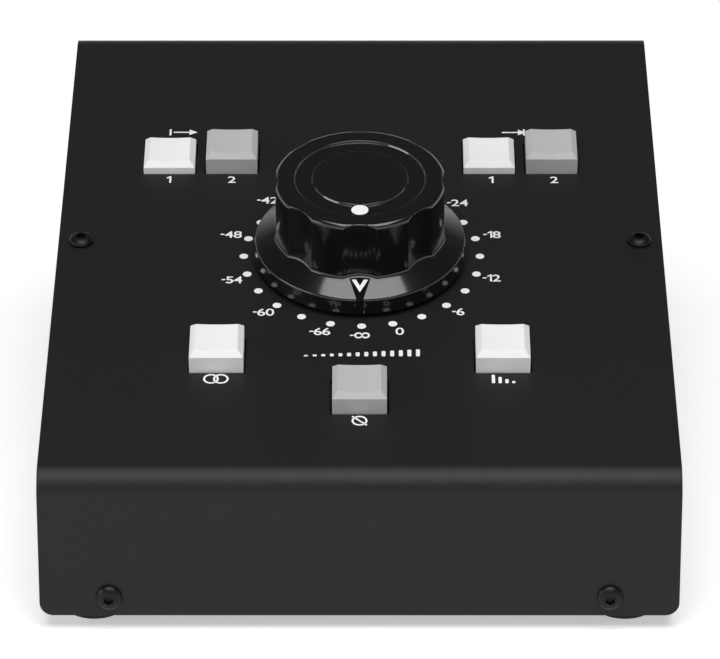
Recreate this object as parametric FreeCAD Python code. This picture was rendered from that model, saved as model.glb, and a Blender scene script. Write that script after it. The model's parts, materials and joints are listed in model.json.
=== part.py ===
import FreeCAD, Part
import math
import os
from FreeCAD import Placement, Rotation, Vector

# Desktop monitor controller: a folded steel cover on a base tray, a stepped rotary level
# control with a fluted skirted knob, seven push buttons and eight jacks at the back.
#
# Millimetres. X runs to the right, Y to the back and Z up, with Z = 0 under the feet and the
# origin below the middle of the overall box. The control panel is the sloping top. Things on
# it are drawn in panel axes: x across, v up the slope from the sharp front corner of the
# cover, and w straight out of the panel's outer face.

# ---- case ----
CASE_WIDTH = 140.0
CASE_DEPTH = 175.6
FRONT_CORNER_HEIGHT = 36.45
PANEL_SLOPE = 14.0
SHEET = 1.5
BEND_RADIUS = 6.5
COVER_CORNER_RADIUS = 3.0
SIDE_INSET = 0.5
SHEET_GAP = 0.15
TRAY_BEND_RADIUS = 2.2
FLANGE_WIDTH = 12.0
FLANGE_HEIGHT = 12.0
FLANGE_RELIEF = 3.0

# ---- case screws, button heads with a hexagon socket ----
SCREW_RADIUS = 1.45
SCREW_HOLE_RADIUS = 1.7
SCREW_HEAD_RADIUS = 2.85
SCREW_HEAD_HEIGHT = 1.65
SCREW_HEAD_RIM = 0.7
SCREW_HEAD_FLAT = 1.75
SCREW_SOCKET_FLATS = 2.0
SCREW_SOCKET_DEPTH = 1.05
SCREW_LENGTH = 6.0
WELD_NUT_SIZE = 5.2
WELD_NUT_HEIGHT = 2.2
THREAD_GAP = 0.05
TOP_SCREW_INSET = 5.3
TOP_SCREW_V = 88.7
END_SCREW_INSET = 15.25
END_SCREW_RISE = 4.45

# ---- feet ----
FOOT_HEIGHT = 3.5
FOOT_RADIUS = 6.6
FOOT_INSET_X = 11.5
FOOT_INSET_Y = 11.5

# ---- level dial and knob ----
DIAL_V = 82.9
DIAL_STEPS = 24
KNOB_LIFT = 1.2
SKIRT_RADIUS = 24.5
SKIRT_RIM_HEIGHT = 3.75
SKIRT_SLOPE = 0.35
BODY_RADIUS = 19.35
KNOB_TOP = 22.0
BODY_TOP_CHAMFER = 0.55
FLUTES = 8
FLUTE_RADIUS = 8.9
FLUTE_DEPTH = 1.25
FLUTE_EDGE_ROUND = 0.7
RING_INNER_RADIUS = 10.8
RING_OUTER_RADIUS = 15.05
RING_DEPTH = 0.5
DOT_RADIUS = 1.95
DOT_PLACE = 12.4
DOT_SEAT_WALL = 0.35
DOT_THICKNESS = 0.8
KNOB_WALL = 2.2
KNOB_RIM_WALL = 1.8
KNOB_ROOF = 2.6
BOSS_RADIUS = 6.5
BOSS_LIFT = 4.6
RIBS = 6
RIB_THICKNESS = 1.4
RIB_LIFT = 4.0
POINTER_FOOT_WIDTH = 5.3
POINTER_RIM_WIDTH = 1.3
POINTER_DEPTH = 0.4
POINTER_FOOT_GAP = 0.45
CHEVRON_WIDTH = 4.0
CHEVRON_LENGTH = 3.0
CHEVRON_STROKE = 0.85
CHEVRON_INSET = 0.3
CHEVRON_DEPTH = 0.5
CHEVRON_PROUD = 0.05
INSERT_FLATS = 9.0
INSERT_LENGTH = 11.0
SET_SCREW_RADIUS = 1.9
SET_SCREW_LENGTH = 4.6
SET_SCREW_LIFT = 11.0
SET_SCREW_BOSS = 1.5

# ---- rotary switch ----
SHAFT_RADIUS = 3.0
SHAFT_TOP = 15.0
SHAFT_FLAT = 0.8
BUSHING_RADIUS = 5.0
BUSHING_TOP = 3.6
BUSHING_HOLE_GAP = 0.2
RUNNING_GAP = 0.05
PANEL_NUT_FLATS = 14.0
PANEL_NUT_HEIGHT = 2.2
CUP_WIDTH = 34.0
CUP_WALL = 3.0
CUP_FLOOR = 2.0
CUP_DEPTH = 8.0
NOTCH_DEPTH = 0.9
ROLLER_RADIUS = 1.25
ROLLER_GAP = 0.1
DETENT_ARM_GAP = 0.5
DETENT_ARM_REACH = 12.9
DETENT_ARM_WIDTH = 9.0
SLOT_START = 6.0
DETENT_COIL_RADIUS = 0.95
DETENT_WIRE = 0.3
DETENT_TURNS = 3
PLATE_THICKNESS = 0.8
PLATE_HOLE_RADIUS = 5.0
WAFER_RADIUS = 17.0
WAFER_SIDES = 12
WAFER_THICKNESS = 1.2
WAFER_HOLE_RADIUS = 8.4
WAFER_DROP = 1.7
WAFER_PITCH = 4.0
HUB_FLATS = 13.6
MOVING_GAP = 0.3
CONTACT_INNER = 10.0
CONTACT_OUTER = 18.5
CONTACT_WIDTH = 1.0
CONTACT_THICKNESS = 0.4
WIPER_REACH = 13.5
WIPER_WIDTH = 1.6
RESISTOR_CLEARANCE = 0.05
PAD_RESISTOR_LENGTH = 3.3
RESISTOR_WIDTH = 1.2
RESISTOR_HEIGHT = 0.9
RESISTOR_PLACE = 16.8
PILLAR_SIZE = 3.0
PILLAR_PLACE = 21.0
PILLAR_SLOT = 1.2
LEAD_SIZE = 0.6
LEAD_PLACE = 18.2
LEADS_PER_WAFER = 3

# ---- push buttons ----
CAP_SIZE = 12.1
CAP_HOLE_GAP = 0.4
CAP_WALL_TOP = 3.85
CAP_BEVEL_RUN = 1.3
CAP_BEVEL_RISE = 1.45
CAP_SKIRT = 2.5
CAP_CORNER_CUT = 0.35
CAP_WALL = 1.2
CAP_ROOF = 3.3
DISH_RADIUS = 32.0
HUB_WIDTH = 6.6
STEM_WIDTH = 3.2
HUB_BOTTOM = 0.0
LATCH_DROP = 2.4
SWITCH_SIZE = 10.0
SWITCH_TOP = 9.5
SWITCH_WALL = 1.7
SWITCH_ROOF = 1.3
SWITCH_FLOOR = 1.6
STEM_GAP = 0.3
PLUNGER_FOOT_WIDTH = 6.0
PLUNGER_FOOT_HEIGHT = 3.4
RETURN_COIL_RADIUS = 3.1
RETURN_WIRE = 0.4
RETURN_TURNS = 3
COIL_SIDES = 6
SPRING_SEAT_GAP = 0.05
PIN_SIZE = 0.6
PIN_PITCH = 5.0
PIN_TAIL = 1.6
REAR_ROW_INSET = 58.08
REAR_COLUMN_INSET = 24.7
REAR_PITCH = 14.8
SIDE_ROW_V = 44.4
SIDE_COLUMN_INSET = 38.0
MUTE_V = 29.2

# ---- main board ----
BOARD_LEVEL = 21.0
BOARD_THICKNESS = 1.6
BOARD_WINDOW_GAP = 3.0
BOARD_FRONT_V = 12.0
BOARD_REAR_INSET = 41.0
STANDOFF_INSET = 6.0
STANDOFF_FLATS = 5.5
STANDOFF_BORE_DEPTH = 7.0
PAN_HEAD_RADIUS = 2.75
PAN_HEAD_HEIGHT = 1.4
PAN_SCREW_LENGTH = 6.5
DIM_RESISTORS = 4
DIM_RESISTOR_PITCH = 3.0
DIM_RESISTOR_OFFSET = 9.5

# ---- jacks and their board ----
JACK_BORE_RADIUS = 3.25
JACK_BUSHING_RADIUS = 4.7
JACK_HOLE_GAP = 0.2
JACK_WIDTH = 15.8
JACK_HEIGHT = 13.8
JACK_DEPTH = 24.0
JACK_BORE_DEPTH = 21.5
JACK_PROUD = 1.0
JACK_NUT_FLATS = 12.0
JACK_NUT_HEIGHT = 2.6
JACKS_PER_ROW = 4
JACK_COLUMN_INSET = 25.0
INPUT_ROW_Z = 27.0
OUTPUT_ROW_Z = 52.0
JACK_BOARD_MARGIN = 3.0
JACK_PINS = 3
JACK_PIN_PITCH = 4.5
HEADER_WIDTH = 24.0
HEADER_SIZE = 5.0
HEADER_HEIGHT = 6.0
HEADER_INSET = 9.0
JACK_HEADER_Z = 30.0
RIBBON_WIDTH = 20.0
RIBBON_THICKNESS = 0.9
RIBBON_BEND_RADIUS = 3.0

# Small round pins and holes that repeat are drawn with this many flats, and the feet with these.
SMALL_SIDES = 10
FOOT_SIDES = 24

X_AXIS = Vector(1, 0, 0)
Z_AXIS = Vector(0, 0, 1)

# The direction of the front round an upright axis, in degrees.
FRONT_TURN = -90.0

jack_reach = JACK_NUT_HEIGHT + JACK_PROUD
overall_depth = SCREW_HEAD_HEIGHT + CASE_DEPTH + jack_reach
front_y = SCREW_HEAD_HEIGHT - overall_depth / 2
rear_y = front_y + CASE_DEPTH
slope = math.radians(PANEL_SLOPE)
rear_corner_height = FRONT_CORNER_HEIGHT + CASE_DEPTH * math.tan(slope)
panel_length = CASE_DEPTH / math.cos(slope)
panel = Placement(Vector(0, front_y, FRONT_CORNER_HEIGHT), Rotation(X_AXIS, PANEL_SLOPE))

case_outline = (
    Vector(0, front_y, FOOT_HEIGHT),
    Vector(0, front_y, FRONT_CORNER_HEIGHT),
    Vector(0, rear_y, rear_corner_height),
    Vector(0, rear_y, FOOT_HEIGHT),
)

rear_row_v = panel_length - REAR_ROW_INSET
rear_outer_x = CASE_WIDTH / 2 - REAR_COLUMN_INSET
rear_inner_x = rear_outer_x - REAR_PITCH
side_x = CASE_WIDTH / 2 - SIDE_COLUMN_INSET

LATCHED = True
RELEASED = False
buttons = (
    ("output_1", -rear_outer_x, rear_row_v, LATCHED),
    ("output_2", -rear_inner_x, rear_row_v, RELEASED),
    ("input_1", rear_inner_x, rear_row_v, LATCHED),
    ("input_2", rear_outer_x, rear_row_v, RELEASED),
    ("mono", -side_x, SIDE_ROW_V, RELEASED),
    ("mute", 0.0, MUTE_V, RELEASED),
    ("dim", side_x, SIDE_ROW_V, RELEASED),
)


# ---- small tools ----

def unit(vector):
    """The same direction with a length of one."""
    return Vector(vector).normalize()


def placed(shape, placement):
    """A copy of a shape moved by a placement."""
    copy = shape.copy()
    copy.Placement = placement.multiply(copy.Placement)
    return copy


def at(shape, x, y, z):
    """A copy of a shape moved by x, y and z."""
    return placed(shape, Placement(Vector(x, y, z), Rotation()))


def turned(shape, degrees):
    """A copy of a shape turned about Z."""
    return placed(shape, Placement(Vector(0, 0, 0), Rotation(Z_AXIS, degrees)))


def on_panel(shape):
    """A copy of a shape drawn in panel axes, moved to where the panel is."""
    return placed(shape, panel)


def on_dial(shape):
    """A copy of a shape drawn around the knob's axis, moved to the dial."""
    return on_panel(at(shape, 0, DIAL_V, 0))


def facing(shape, point, rotation):
    """A copy of a shape drawn along Z, turned and moved to a point of the case."""
    return placed(shape, Placement(point, rotation))


def cylinder(radius, bottom, top):
    """A cylinder about Z from one level to another."""
    return Part.makeCylinder(radius, top - bottom, Vector(0, 0, bottom))


def block(width, length, bottom, top):
    """A box centred on Z from one level to another."""
    corner = Vector(-width / 2, -length / 2, bottom)
    return Part.makeBox(width, length, top - bottom, corner)


def on_circle(radius, degrees, height):
    """A point round the Z axis."""
    turn = math.radians(degrees)
    return Vector(radius * math.cos(turn), radius * math.sin(turn), height)


def regular_outline(sides, flats, height):
    """The corners of a regular outline about Z, given across its flats."""
    radius = flats / 2 / math.cos(math.pi / sides)
    return [on_circle(radius, 360 * k / sides, height) for k in range(sides)]


def regular_prism(sides, flats, bottom, top):
    """A prism about Z with a regular outline, given across its flats."""
    return prism(regular_outline(sides, flats, bottom), top - bottom)


def hexagon(flats, bottom, top):
    """A hexagonal prism about Z, given across its flats."""
    return regular_prism(6, flats, bottom, top)


def small_round(radius, bottom, top):
    """A small pin or hole about Z, drawn with a few flats round its radius."""
    return regular_prism(SMALL_SIDES, 2 * radius, bottom, top)


def closed(corners):
    """The wire through a list of corners and back to the first."""
    return Part.makePolygon(list(corners) + [corners[0]])


def prism(corners, height):
    """A flat outline pulled up along Z."""
    return Part.Face(closed(corners)).extrude(Vector(0, 0, height))


def turned_profile(points):
    """A solid of revolution about Z from (radius, height) corners."""
    face = Part.Face(closed([Vector(radius, 0, height) for radius, height in points]))
    return face.revolve(Vector(0, 0, 0), Z_AXIS, 360)


def united(shapes):
    """One solid from several that touch."""
    first, *rest = shapes
    return first.fuse(rest).removeSplitter()


def right_of(direction):
    """The direction to the right of travel in the Y-Z plane."""
    return Vector(0, direction.z, -direction.y)


def offset_chain(points, shift):
    """A Y-Z polyline moved sideways, to the right of its direction of travel."""
    headings = [unit(after - before) for before, after in zip(points, points[1:])]
    moved = []
    for index, point in enumerate(points):
        arriving = right_of(headings[max(index - 1, 0)])
        leaving = right_of(headings[min(index, len(headings) - 1)])
        sideways = arriving + leaving
        moved.append(point + sideways * (shift / sideways.dot(arriving)))
    return moved


def rounded_edges(points, radius):
    """The edges of an open Y-Z polyline with an arc at each inner corner."""
    edges = []
    start = points[0]
    for before, corner, after in zip(points, points[1:], points[2:]):
        back = unit(before - corner)
        ahead = unit(after - corner)
        half_angle = back.getAngle(ahead) / 2
        tangent = radius / math.tan(half_angle)
        sagitta = radius / math.sin(half_angle) - radius
        arc_start = corner + back * tangent
        arc_end = corner + ahead * tangent
        edges.append(Part.makeLine(start, arc_start))
        edges.append(Part.Arc(arc_start, corner + unit(back + ahead) * sagitta, arc_end).toShape())
        start = arc_end
    edges.append(Part.makeLine(start, points[-1]))
    return edges


def extruded_loop(edges, width):
    """A closed loop of Y-Z edges made a solid, centred on X."""
    face = Part.Face(Part.Wire(Part.__sortEdges__(edges)))
    face.translate(Vector(-width / 2, 0, 0))
    return face.extrude(Vector(width, 0, 0))


def folded_sheet(points, radius, thickness, width):
    """A sheet bent along a Y-Z polyline, its other face to the right of travel.

    The radius is that of the given side at bends that turn right.
    """
    inner = offset_chain(points, thickness)
    edges = rounded_edges(points, radius)
    edges += rounded_edges(inner, radius - thickness)
    edges.append(Part.makeLine(points[0], inner[0]))
    edges.append(Part.makeLine(points[-1], inner[-1]))
    return extruded_loop(edges, width)


def coil(radius, wire, bottom, top, turns):
    """A compression spring of square wire about Z, with straight runs between its corners."""
    steps = turns * COIL_SIDES
    lowest = bottom + wire / 2
    rise = (top - bottom - wire) / steps
    points = [Vector(radius * math.cos(2 * math.pi * k / COIL_SIDES),
                     radius * math.sin(2 * math.pi * k / COIL_SIDES),
                     lowest + rise * k) for k in range(steps + 1)]
    path = Part.makePolygon(points)
    side = Part.makePlane(wire, wire, Vector(-wire / 2, -wire / 2, 0)).OuterWire
    side.Placement = Placement(points[0], Rotation(Z_AXIS, unit(points[1] - points[0])))
    return path.makePipeShell([side], True, False, 1)


def rotate_to_rear():
    """Turns Z to point out of the rear wall."""
    return Rotation(X_AXIS, -90)


def rotate_to_front():
    """Turns Z to point out of the front wall."""
    return Rotation(X_AXIS, 90)


# ---- case ----

tray_offset = SHEET + SHEET_GAP
tray_half_width = CASE_WIDTH / 2 - SIDE_INSET
top_screw_x = CASE_WIDTH / 2 - TOP_SCREW_INSET
end_screw_x = CASE_WIDTH / 2 - END_SCREW_INSET
end_screw_z = FOOT_HEIGHT + END_SCREW_RISE
rotor_step = 360 / DIAL_STEPS

# Each case screw: where its head seats on the cover, and which way the head faces.
case_screw_places = []
for side in (-1, 1):
    seat = panel.multVec(Vector(side * top_screw_x, TOP_SCREW_V, 0))
    case_screw_places.append((seat, panel.Rotation))
    seat = Vector(side * end_screw_x, front_y, end_screw_z)
    case_screw_places.append((seat, rotate_to_front()))
    seat = Vector(side * end_screw_x, rear_y, end_screw_z)
    case_screw_places.append((seat, rotate_to_rear()))

foot_places = [Vector(side * (CASE_WIDTH / 2 - FOOT_INSET_X), y, 0)
               for side in (-1, 1)
               for y in (front_y + FOOT_INSET_Y, rear_y - FOOT_INSET_Y)]

jack_outer_x = CASE_WIDTH / 2 - JACK_COLUMN_INSET
jack_columns = [jack_outer_x * (2 * k / (JACKS_PER_ROW - 1) - 1) for k in range(JACKS_PER_ROW)]
jack_places = {
    "input": [Vector(x, rear_y, INPUT_ROW_Z) for x in jack_columns],
    "output": [Vector(x, rear_y, OUTPUT_ROW_Z) for x in jack_columns],
}

# The board passes through the window between the tray's top flanges.
window_half = tray_half_width - FLANGE_WIDTH
board_half_width = window_half - BOARD_WINDOW_GAP
board_rear_v = panel_length - BOARD_REAR_INSET
standoff_places = [(side * (board_half_width - STANDOFF_INSET), v)
                   for side in (-1, 1)
                   for v in (BOARD_FRONT_V + STANDOFF_INSET, board_rear_v - STANDOFF_INSET)]
header_v = board_rear_v - HEADER_INSET


def case_screw_holes():
    """Clearance holes for the screws that hold the cover to the tray."""
    depth = SHEET + SCREW_LENGTH
    hole = small_round(SCREW_HOLE_RADIUS, -depth, SCREW_HEAD_HEIGHT)
    return [facing(hole, seat, rotation) for seat, rotation in case_screw_places]


def make_cover():
    """Front, sloping top and back in one folded sheet, with every hole cut."""
    sheet = folded_sheet(case_outline, BEND_RADIUS, SHEET, CASE_WIDTH)
    corners = [edge for edge in sheet.Edges
               if edge.BoundBox.ZMax < FOOT_HEIGHT + 1e-3 and edge.BoundBox.XLength < 1e-3]
    sheet = sheet.makeFillet(COVER_CORNER_RADIUS, corners)
    holes = case_screw_holes()
    opening = CAP_SIZE + 2 * CAP_HOLE_GAP
    for _, x, v, _ in buttons:
        hole = block(opening, opening, -2 * SHEET, SHEET)
        holes.append(on_panel(at(hole, x, v, 0)))
    holes.append(on_dial(small_round(BUSHING_RADIUS + BUSHING_HOLE_GAP, -2 * SHEET, SHEET)))
    for place in jack_places["input"] + jack_places["output"]:
        hole = small_round(JACK_BUSHING_RADIUS + JACK_HOLE_GAP, -2 * SHEET, SHEET)
        holes.append(facing(hole, place, rotate_to_rear()))
    return sheet.cut(holes)


def tray_block(offset, floor, half_width, radius):
    """The case's inside as a solid, drawn in by an offset, with its lower side edges rounded."""
    outline = offset_chain(case_outline, offset)
    outline[0].z = floor
    outline[-1].z = floor
    edges = rounded_edges(outline, BEND_RADIUS - offset)
    edges.append(Part.makeLine(outline[-1], outline[0]))
    body = extruded_loop(edges, 2 * half_width)
    lower_edges = [edge for edge in body.Edges
                   if edge.BoundBox.XLength < 1e-3 and edge.BoundBox.ZMax < floor + 1e-3]
    return body.makeFillet(radius, lower_edges)


def make_tray():
    """Bottom, two side walls with folded top flanges, and low end flanges."""
    outside = tray_block(tray_offset, FOOT_HEIGHT, tray_half_width, TRAY_BEND_RADIUS)
    inside = tray_block(tray_offset + SHEET, FOOT_HEIGHT + SHEET, tray_half_width - SHEET,
                        TRAY_BEND_RADIUS - SHEET)
    shell = outside.cut(inside)
    flange_top = FOOT_HEIGHT + FLANGE_HEIGHT
    roof = rear_corner_height
    window = Part.makeBox(2 * window_half, CASE_DEPTH, roof, Vector(-window_half, front_y, flange_top))
    end_run = tray_offset + BEND_RADIUS + FLANGE_RELIEF
    end_half = tray_half_width - SHEET
    front_end = Part.makeBox(2 * end_half, end_run, roof, Vector(-end_half, front_y, flange_top))
    rear_end = Part.makeBox(2 * end_half, end_run, roof, Vector(-end_half, rear_y - end_run, flange_top))
    return shell.cut([window, front_end, rear_end] + case_screw_holes())


def make_button_head_screw():
    """A case screw along Z with its button head above zero."""
    shank = small_round(SCREW_RADIUS, -SCREW_LENGTH, 0)
    rim = small_round(SCREW_HEAD_RADIUS, 0, SCREW_HEAD_RIM)
    dome = Part.makeLoft([closed(regular_outline(SMALL_SIDES, 2 * SCREW_HEAD_RADIUS, SCREW_HEAD_RIM)),
                          closed(regular_outline(SMALL_SIDES, 2 * SCREW_HEAD_FLAT, SCREW_HEAD_HEIGHT))],
                         True, True)
    socket = hexagon(SCREW_SOCKET_FLATS, SCREW_HEAD_HEIGHT - SCREW_SOCKET_DEPTH, SCREW_HEAD_HEIGHT)
    return united([shank, rim, dome]).cut(socket)


def make_case_screws():
    """The six screws that hold the cover to the tray."""
    screw = make_button_head_screw()
    return Part.makeCompound([facing(screw, seat, rotation) for seat, rotation in case_screw_places])


def make_weld_nuts():
    """The square nuts welded to the tray's flanges, one behind each case screw."""
    top = -tray_offset - SHEET
    bottom = top - WELD_NUT_HEIGHT
    nut = block(WELD_NUT_SIZE, WELD_NUT_SIZE, bottom, top).cut(
        small_round(SCREW_RADIUS + THREAD_GAP, bottom, top))
    return Part.makeCompound([facing(nut, seat, rotation) for seat, rotation in case_screw_places])


def make_feet():
    """Four round rubber feet stuck to the tray."""
    foot = regular_prism(FOOT_SIDES, 2 * FOOT_RADIUS, 0, FOOT_HEIGHT)
    return Part.makeCompound([at(foot, place.x, place.y, 0) for place in foot_places])


# ---- knob ----

rim_top = KNOB_LIFT + SKIRT_RIM_HEIGHT


def skirt_height(radius, rise=0.0):
    """How high the skirt's cone stands at a radius."""
    return rim_top + (SKIRT_RADIUS - radius) * SKIRT_SLOPE + rise


def cone_layer(below, above):
    """The space between two surfaces parallel to the skirt's cone."""
    inner = BODY_RADIUS - FLUTE_DEPTH - FLUTE_EDGE_ROUND
    return turned_profile([
        (inner, skirt_height(inner, below)),
        (SKIRT_RADIUS, skirt_height(SKIRT_RADIUS, below)),
        (SKIRT_RADIUS, skirt_height(SKIRT_RADIUS, above)),
        (inner, skirt_height(inner, above)),
    ])


def make_skirt():
    """The knob's round skirt: an upright rim and a low cone."""
    inner = BODY_RADIUS - 2 * FLUTE_DEPTH
    return turned_profile([
        (0, KNOB_LIFT),
        (SKIRT_RADIUS, KNOB_LIFT),
        (SKIRT_RADIUS, rim_top),
        (inner, skirt_height(inner)),
        (0, skirt_height(inner)),
    ])


def flute_ridge(middle, side):
    """Where a flute's rounded ridge leaves the drum, its middle, and where it enters the flute."""
    inner = BODY_RADIUS - FLUTE_EDGE_ROUND
    outer = FLUTE_RADIUS + FLUTE_EDGE_ROUND
    axis = flute_axis_radius()
    half = math.degrees(math.acos((inner ** 2 + axis ** 2 - outer ** 2) / (2 * inner * axis)))
    centre = on_circle(inner, middle + side * half, rim_top)
    on_drum = on_circle(BODY_RADIUS, middle + side * half, rim_top)
    flute_axis = on_circle(axis, middle, rim_top)
    in_flute = flute_axis + unit(centre - flute_axis) * FLUTE_RADIUS
    crest = centre + unit((on_drum + in_flute) / 2 - centre) * FLUTE_EDGE_ROUND
    return on_drum, crest, in_flute


def make_fluted_body():
    """The grip: a drum with scooped flutes, softened ridges and a chamfered top."""
    pitch = 360 / FLUTES
    edges = []
    for k in range(FLUTES):
        middle = FRONT_TURN + k * pitch
        arriving = flute_ridge(middle, -1)
        leaving = flute_ridge(middle, 1)
        lobe = on_circle(BODY_RADIUS, middle + pitch / 2, rim_top)
        following = flute_ridge(middle + pitch, -1)
        bottom = on_circle(BODY_RADIUS - FLUTE_DEPTH, middle, rim_top)
        edges.append(Part.Arc(*arriving).toShape())
        edges.append(Part.Arc(arriving[-1], bottom, leaving[-1]).toShape())
        edges.append(Part.Arc(*leaving).toShape())
        edges.append(Part.Arc(leaving[0], lobe, following[0]).toShape())
    outline = Part.Wire(Part.__sortEdges__(edges))
    column = Part.Face(outline).extrude(Vector(0, 0, KNOB_TOP - rim_top))
    overhang = SKIRT_RADIUS - BODY_RADIUS + BODY_TOP_CHAMFER
    drum = turned_profile([
        (0, rim_top),
        (SKIRT_RADIUS, rim_top),
        (SKIRT_RADIUS, KNOB_TOP - overhang),
        (SKIRT_RADIUS - overhang, KNOB_TOP),
        (0, KNOB_TOP),
    ])
    return column.common(drum)


def flute_axis_radius():
    """How far from the knob's axis the flutes' own axes stand."""
    return BODY_RADIUS - FLUTE_DEPTH + FLUTE_RADIUS


def make_ring_groove():
    """The shallow ring sunk in the knob's top, left standing where the dot is set."""
    floor = KNOB_TOP - RING_DEPTH
    groove = cylinder(RING_OUTER_RADIUS, floor, KNOB_TOP).cut(cylinder(RING_INNER_RADIUS, floor, KNOB_TOP))
    seat = at(cylinder(DOT_RADIUS + DOT_SEAT_WALL, floor, KNOB_TOP), 0, -DOT_PLACE, 0)
    return groove.cut(seat)


def make_knob_cavity():
    """The hollow under the skirt and in the body."""
    body_inside = BODY_RADIUS - FLUTE_DEPTH - KNOB_WALL
    skirt = cylinder(SKIRT_RADIUS - KNOB_RIM_WALL, 0, rim_top - KNOB_WALL)
    return skirt.fuse(cylinder(body_inside, 0, KNOB_TOP - KNOB_ROOF))


def make_knob_core():
    """The boss round the shaft, its ribs, and the tunnel for the set screw."""
    roof = KNOB_TOP - KNOB_ROOF
    reach = BODY_RADIUS - FLUTE_DEPTH - KNOB_WALL / 2
    rib = Part.makeBox(reach, RIB_THICKNESS, roof - KNOB_LIFT - RIB_LIFT - BOSS_LIFT,
                       Vector(0, -RIB_THICKNESS / 2, KNOB_LIFT + RIB_LIFT + BOSS_LIFT))
    ribs = [turned(rib, (k + 0.5) * 360 / RIBS) for k in range(RIBS)]
    tunnel = along_rear(small_round(SET_SCREW_RADIUS + SET_SCREW_BOSS, 0, reach))
    return [cylinder(BOSS_RADIUS, BOSS_LIFT, roof), tunnel] + ribs


def along_rear(shape):
    """A shape drawn along Z laid along the set screw's line, towards the back."""
    return facing(shape, Vector(0, 0, SET_SCREW_LIFT), rotate_to_rear())


def pointer_foot():
    """How far from the knob's axis the sunk pointer starts, in front of its flute."""
    return BODY_RADIUS - FLUTE_DEPTH + POINTER_FOOT_GAP


def make_pointer_recess():
    """The sunk pointer on the skirt: wide along its flute, narrow where it runs out at the rim."""
    foot = BODY_RADIUS - FLUTE_DEPTH
    corners = [
        Vector(-POINTER_FOOT_WIDTH / 2, -foot, 0),
        Vector(POINTER_FOOT_WIDTH / 2, -foot, 0),
        Vector(POINTER_RIM_WIDTH / 2, -SKIRT_RADIUS, 0),
        Vector(-POINTER_RIM_WIDTH / 2, -SKIRT_RADIUS, 0),
    ]
    beside_flute = at(cylinder(FLUTE_RADIUS - POINTER_FOOT_GAP, 0, KNOB_TOP), 0, -flute_axis_radius(), 0)
    return prism(corners, KNOB_TOP).common(beside_flute).common(cone_layer(-POINTER_DEPTH, POINTER_DEPTH))


def make_chevron_prism():
    """The pointer's V in plan, pulled up through the skirt."""
    half = CHEVRON_WIDTH / 2
    start = pointer_foot() + CHEVRON_INSET
    heading = math.atan2(CHEVRON_LENGTH, half)
    across = CHEVRON_STROKE / math.sin(heading)
    along = CHEVRON_STROKE / math.cos(heading)
    corners = [
        Vector(-half, -start, 0),
        Vector(0, -start - CHEVRON_LENGTH, 0),
        Vector(half, -start, 0),
        Vector(half - across, -start, 0),
        Vector(0, -start - CHEVRON_LENGTH + along, 0),
        Vector(-half + across, -start, 0),
    ]
    return prism(corners, KNOB_TOP)


def make_knob():
    """The whole knob moulding, hollow underneath."""
    outside = united([make_skirt(), make_fluted_body()])
    hollow = outside.cut(make_knob_cavity())
    solid = united([hollow] + make_knob_core())
    dot_pocket = at(cylinder(DOT_RADIUS, KNOB_TOP - DOT_THICKNESS, KNOB_TOP), 0, -DOT_PLACE, 0)
    cuts = [
        make_ring_groove(),
        dot_pocket,
        make_pointer_recess(),
        make_chevron_prism().common(cone_layer(-POINTER_DEPTH - CHEVRON_DEPTH, 0)),
        hexagon(INSERT_FLATS, 0, BOSS_LIFT + INSERT_LENGTH),
        along_rear(small_round(SET_SCREW_RADIUS + THREAD_GAP, 0, 2 * SKIRT_RADIUS)),
    ]
    return solid.cut(cuts)


def make_index_dot():
    """The white dot set flush in the knob's top."""
    return at(cylinder(DOT_RADIUS, KNOB_TOP - DOT_THICKNESS, KNOB_TOP), 0, -DOT_PLACE, 0)


def make_chevron():
    """The white chevron set in the pointer's floor."""
    return make_chevron_prism().common(
        cone_layer(-POINTER_DEPTH - CHEVRON_DEPTH, CHEVRON_PROUD - POINTER_DEPTH))


def make_insert():
    """The brass insert moulded into the knob's boss."""
    top = BOSS_LIFT + INSERT_LENGTH
    bush = hexagon(INSERT_FLATS, BOSS_LIFT, top).cut(small_round(SHAFT_RADIUS, BOSS_LIFT, top))
    return bush.cut(along_rear(small_round(SET_SCREW_RADIUS + THREAD_GAP, 0, SKIRT_RADIUS)))


def make_set_screw():
    """The socket set screw that bears on the shaft's flat."""
    start = SHAFT_RADIUS - SHAFT_FLAT
    return along_rear(small_round(SET_SCREW_RADIUS, start, start + SET_SCREW_LENGTH))


# ---- rotary switch ----

cup_top = -SHEET
cup_bottom = cup_top - CUP_DEPTH
plate_bottom = cup_bottom - PLATE_THICKNESS
wafer_tops = [plate_bottom - WAFER_DROP - k * WAFER_PITCH for k in range(2)]
wafer_turns = [FRONT_TURN + k * rotor_step / 2 for k in range(2)]
crest_radius = CUP_WIDTH / 2 - CUP_WALL
detent_top = cup_top - CUP_FLOOR - DETENT_ARM_GAP
detent_bottom = cup_bottom + DETENT_ARM_GAP
roller_place = crest_radius - ROLLER_GAP - ROLLER_RADIUS
contact_bottoms = [top - WAFER_THICKNESS - CONTACT_THICKNESS for top in wafer_tops]
wiper_tops = [bottom - MOVING_GAP for bottom in contact_bottoms]
hub_bottom = wiper_tops[1] - 2 * CONTACT_THICKNESS
shaft_bottom = hub_bottom - CONTACT_THICKNESS
pillar_turn = rotor_step / 2


def detent_outline():
    """The saw-tooth ring of the detent cup, with one notch for each step of the dial."""
    corners = []
    for k in range(DIAL_STEPS):
        corners.append(on_circle(crest_radius + NOTCH_DEPTH, k * rotor_step, cup_bottom))
        corners.append(on_circle(crest_radius, (k + 0.5) * rotor_step, cup_bottom))
    return corners


def make_switch_frame():
    """The threaded bushing and the square detent cup under the panel, in one casting."""
    cup = block(CUP_WIDTH, CUP_WIDTH, cup_bottom, cup_top)
    bushing = small_round(BUSHING_RADIUS, cup_top, BUSHING_TOP)
    room = prism(detent_outline(), CUP_DEPTH - CUP_FLOOR)
    bore = cylinder(SHAFT_RADIUS + RUNNING_GAP, cup_bottom, BUSHING_TOP)
    return united([cup, bushing]).cut([room, bore])


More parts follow.
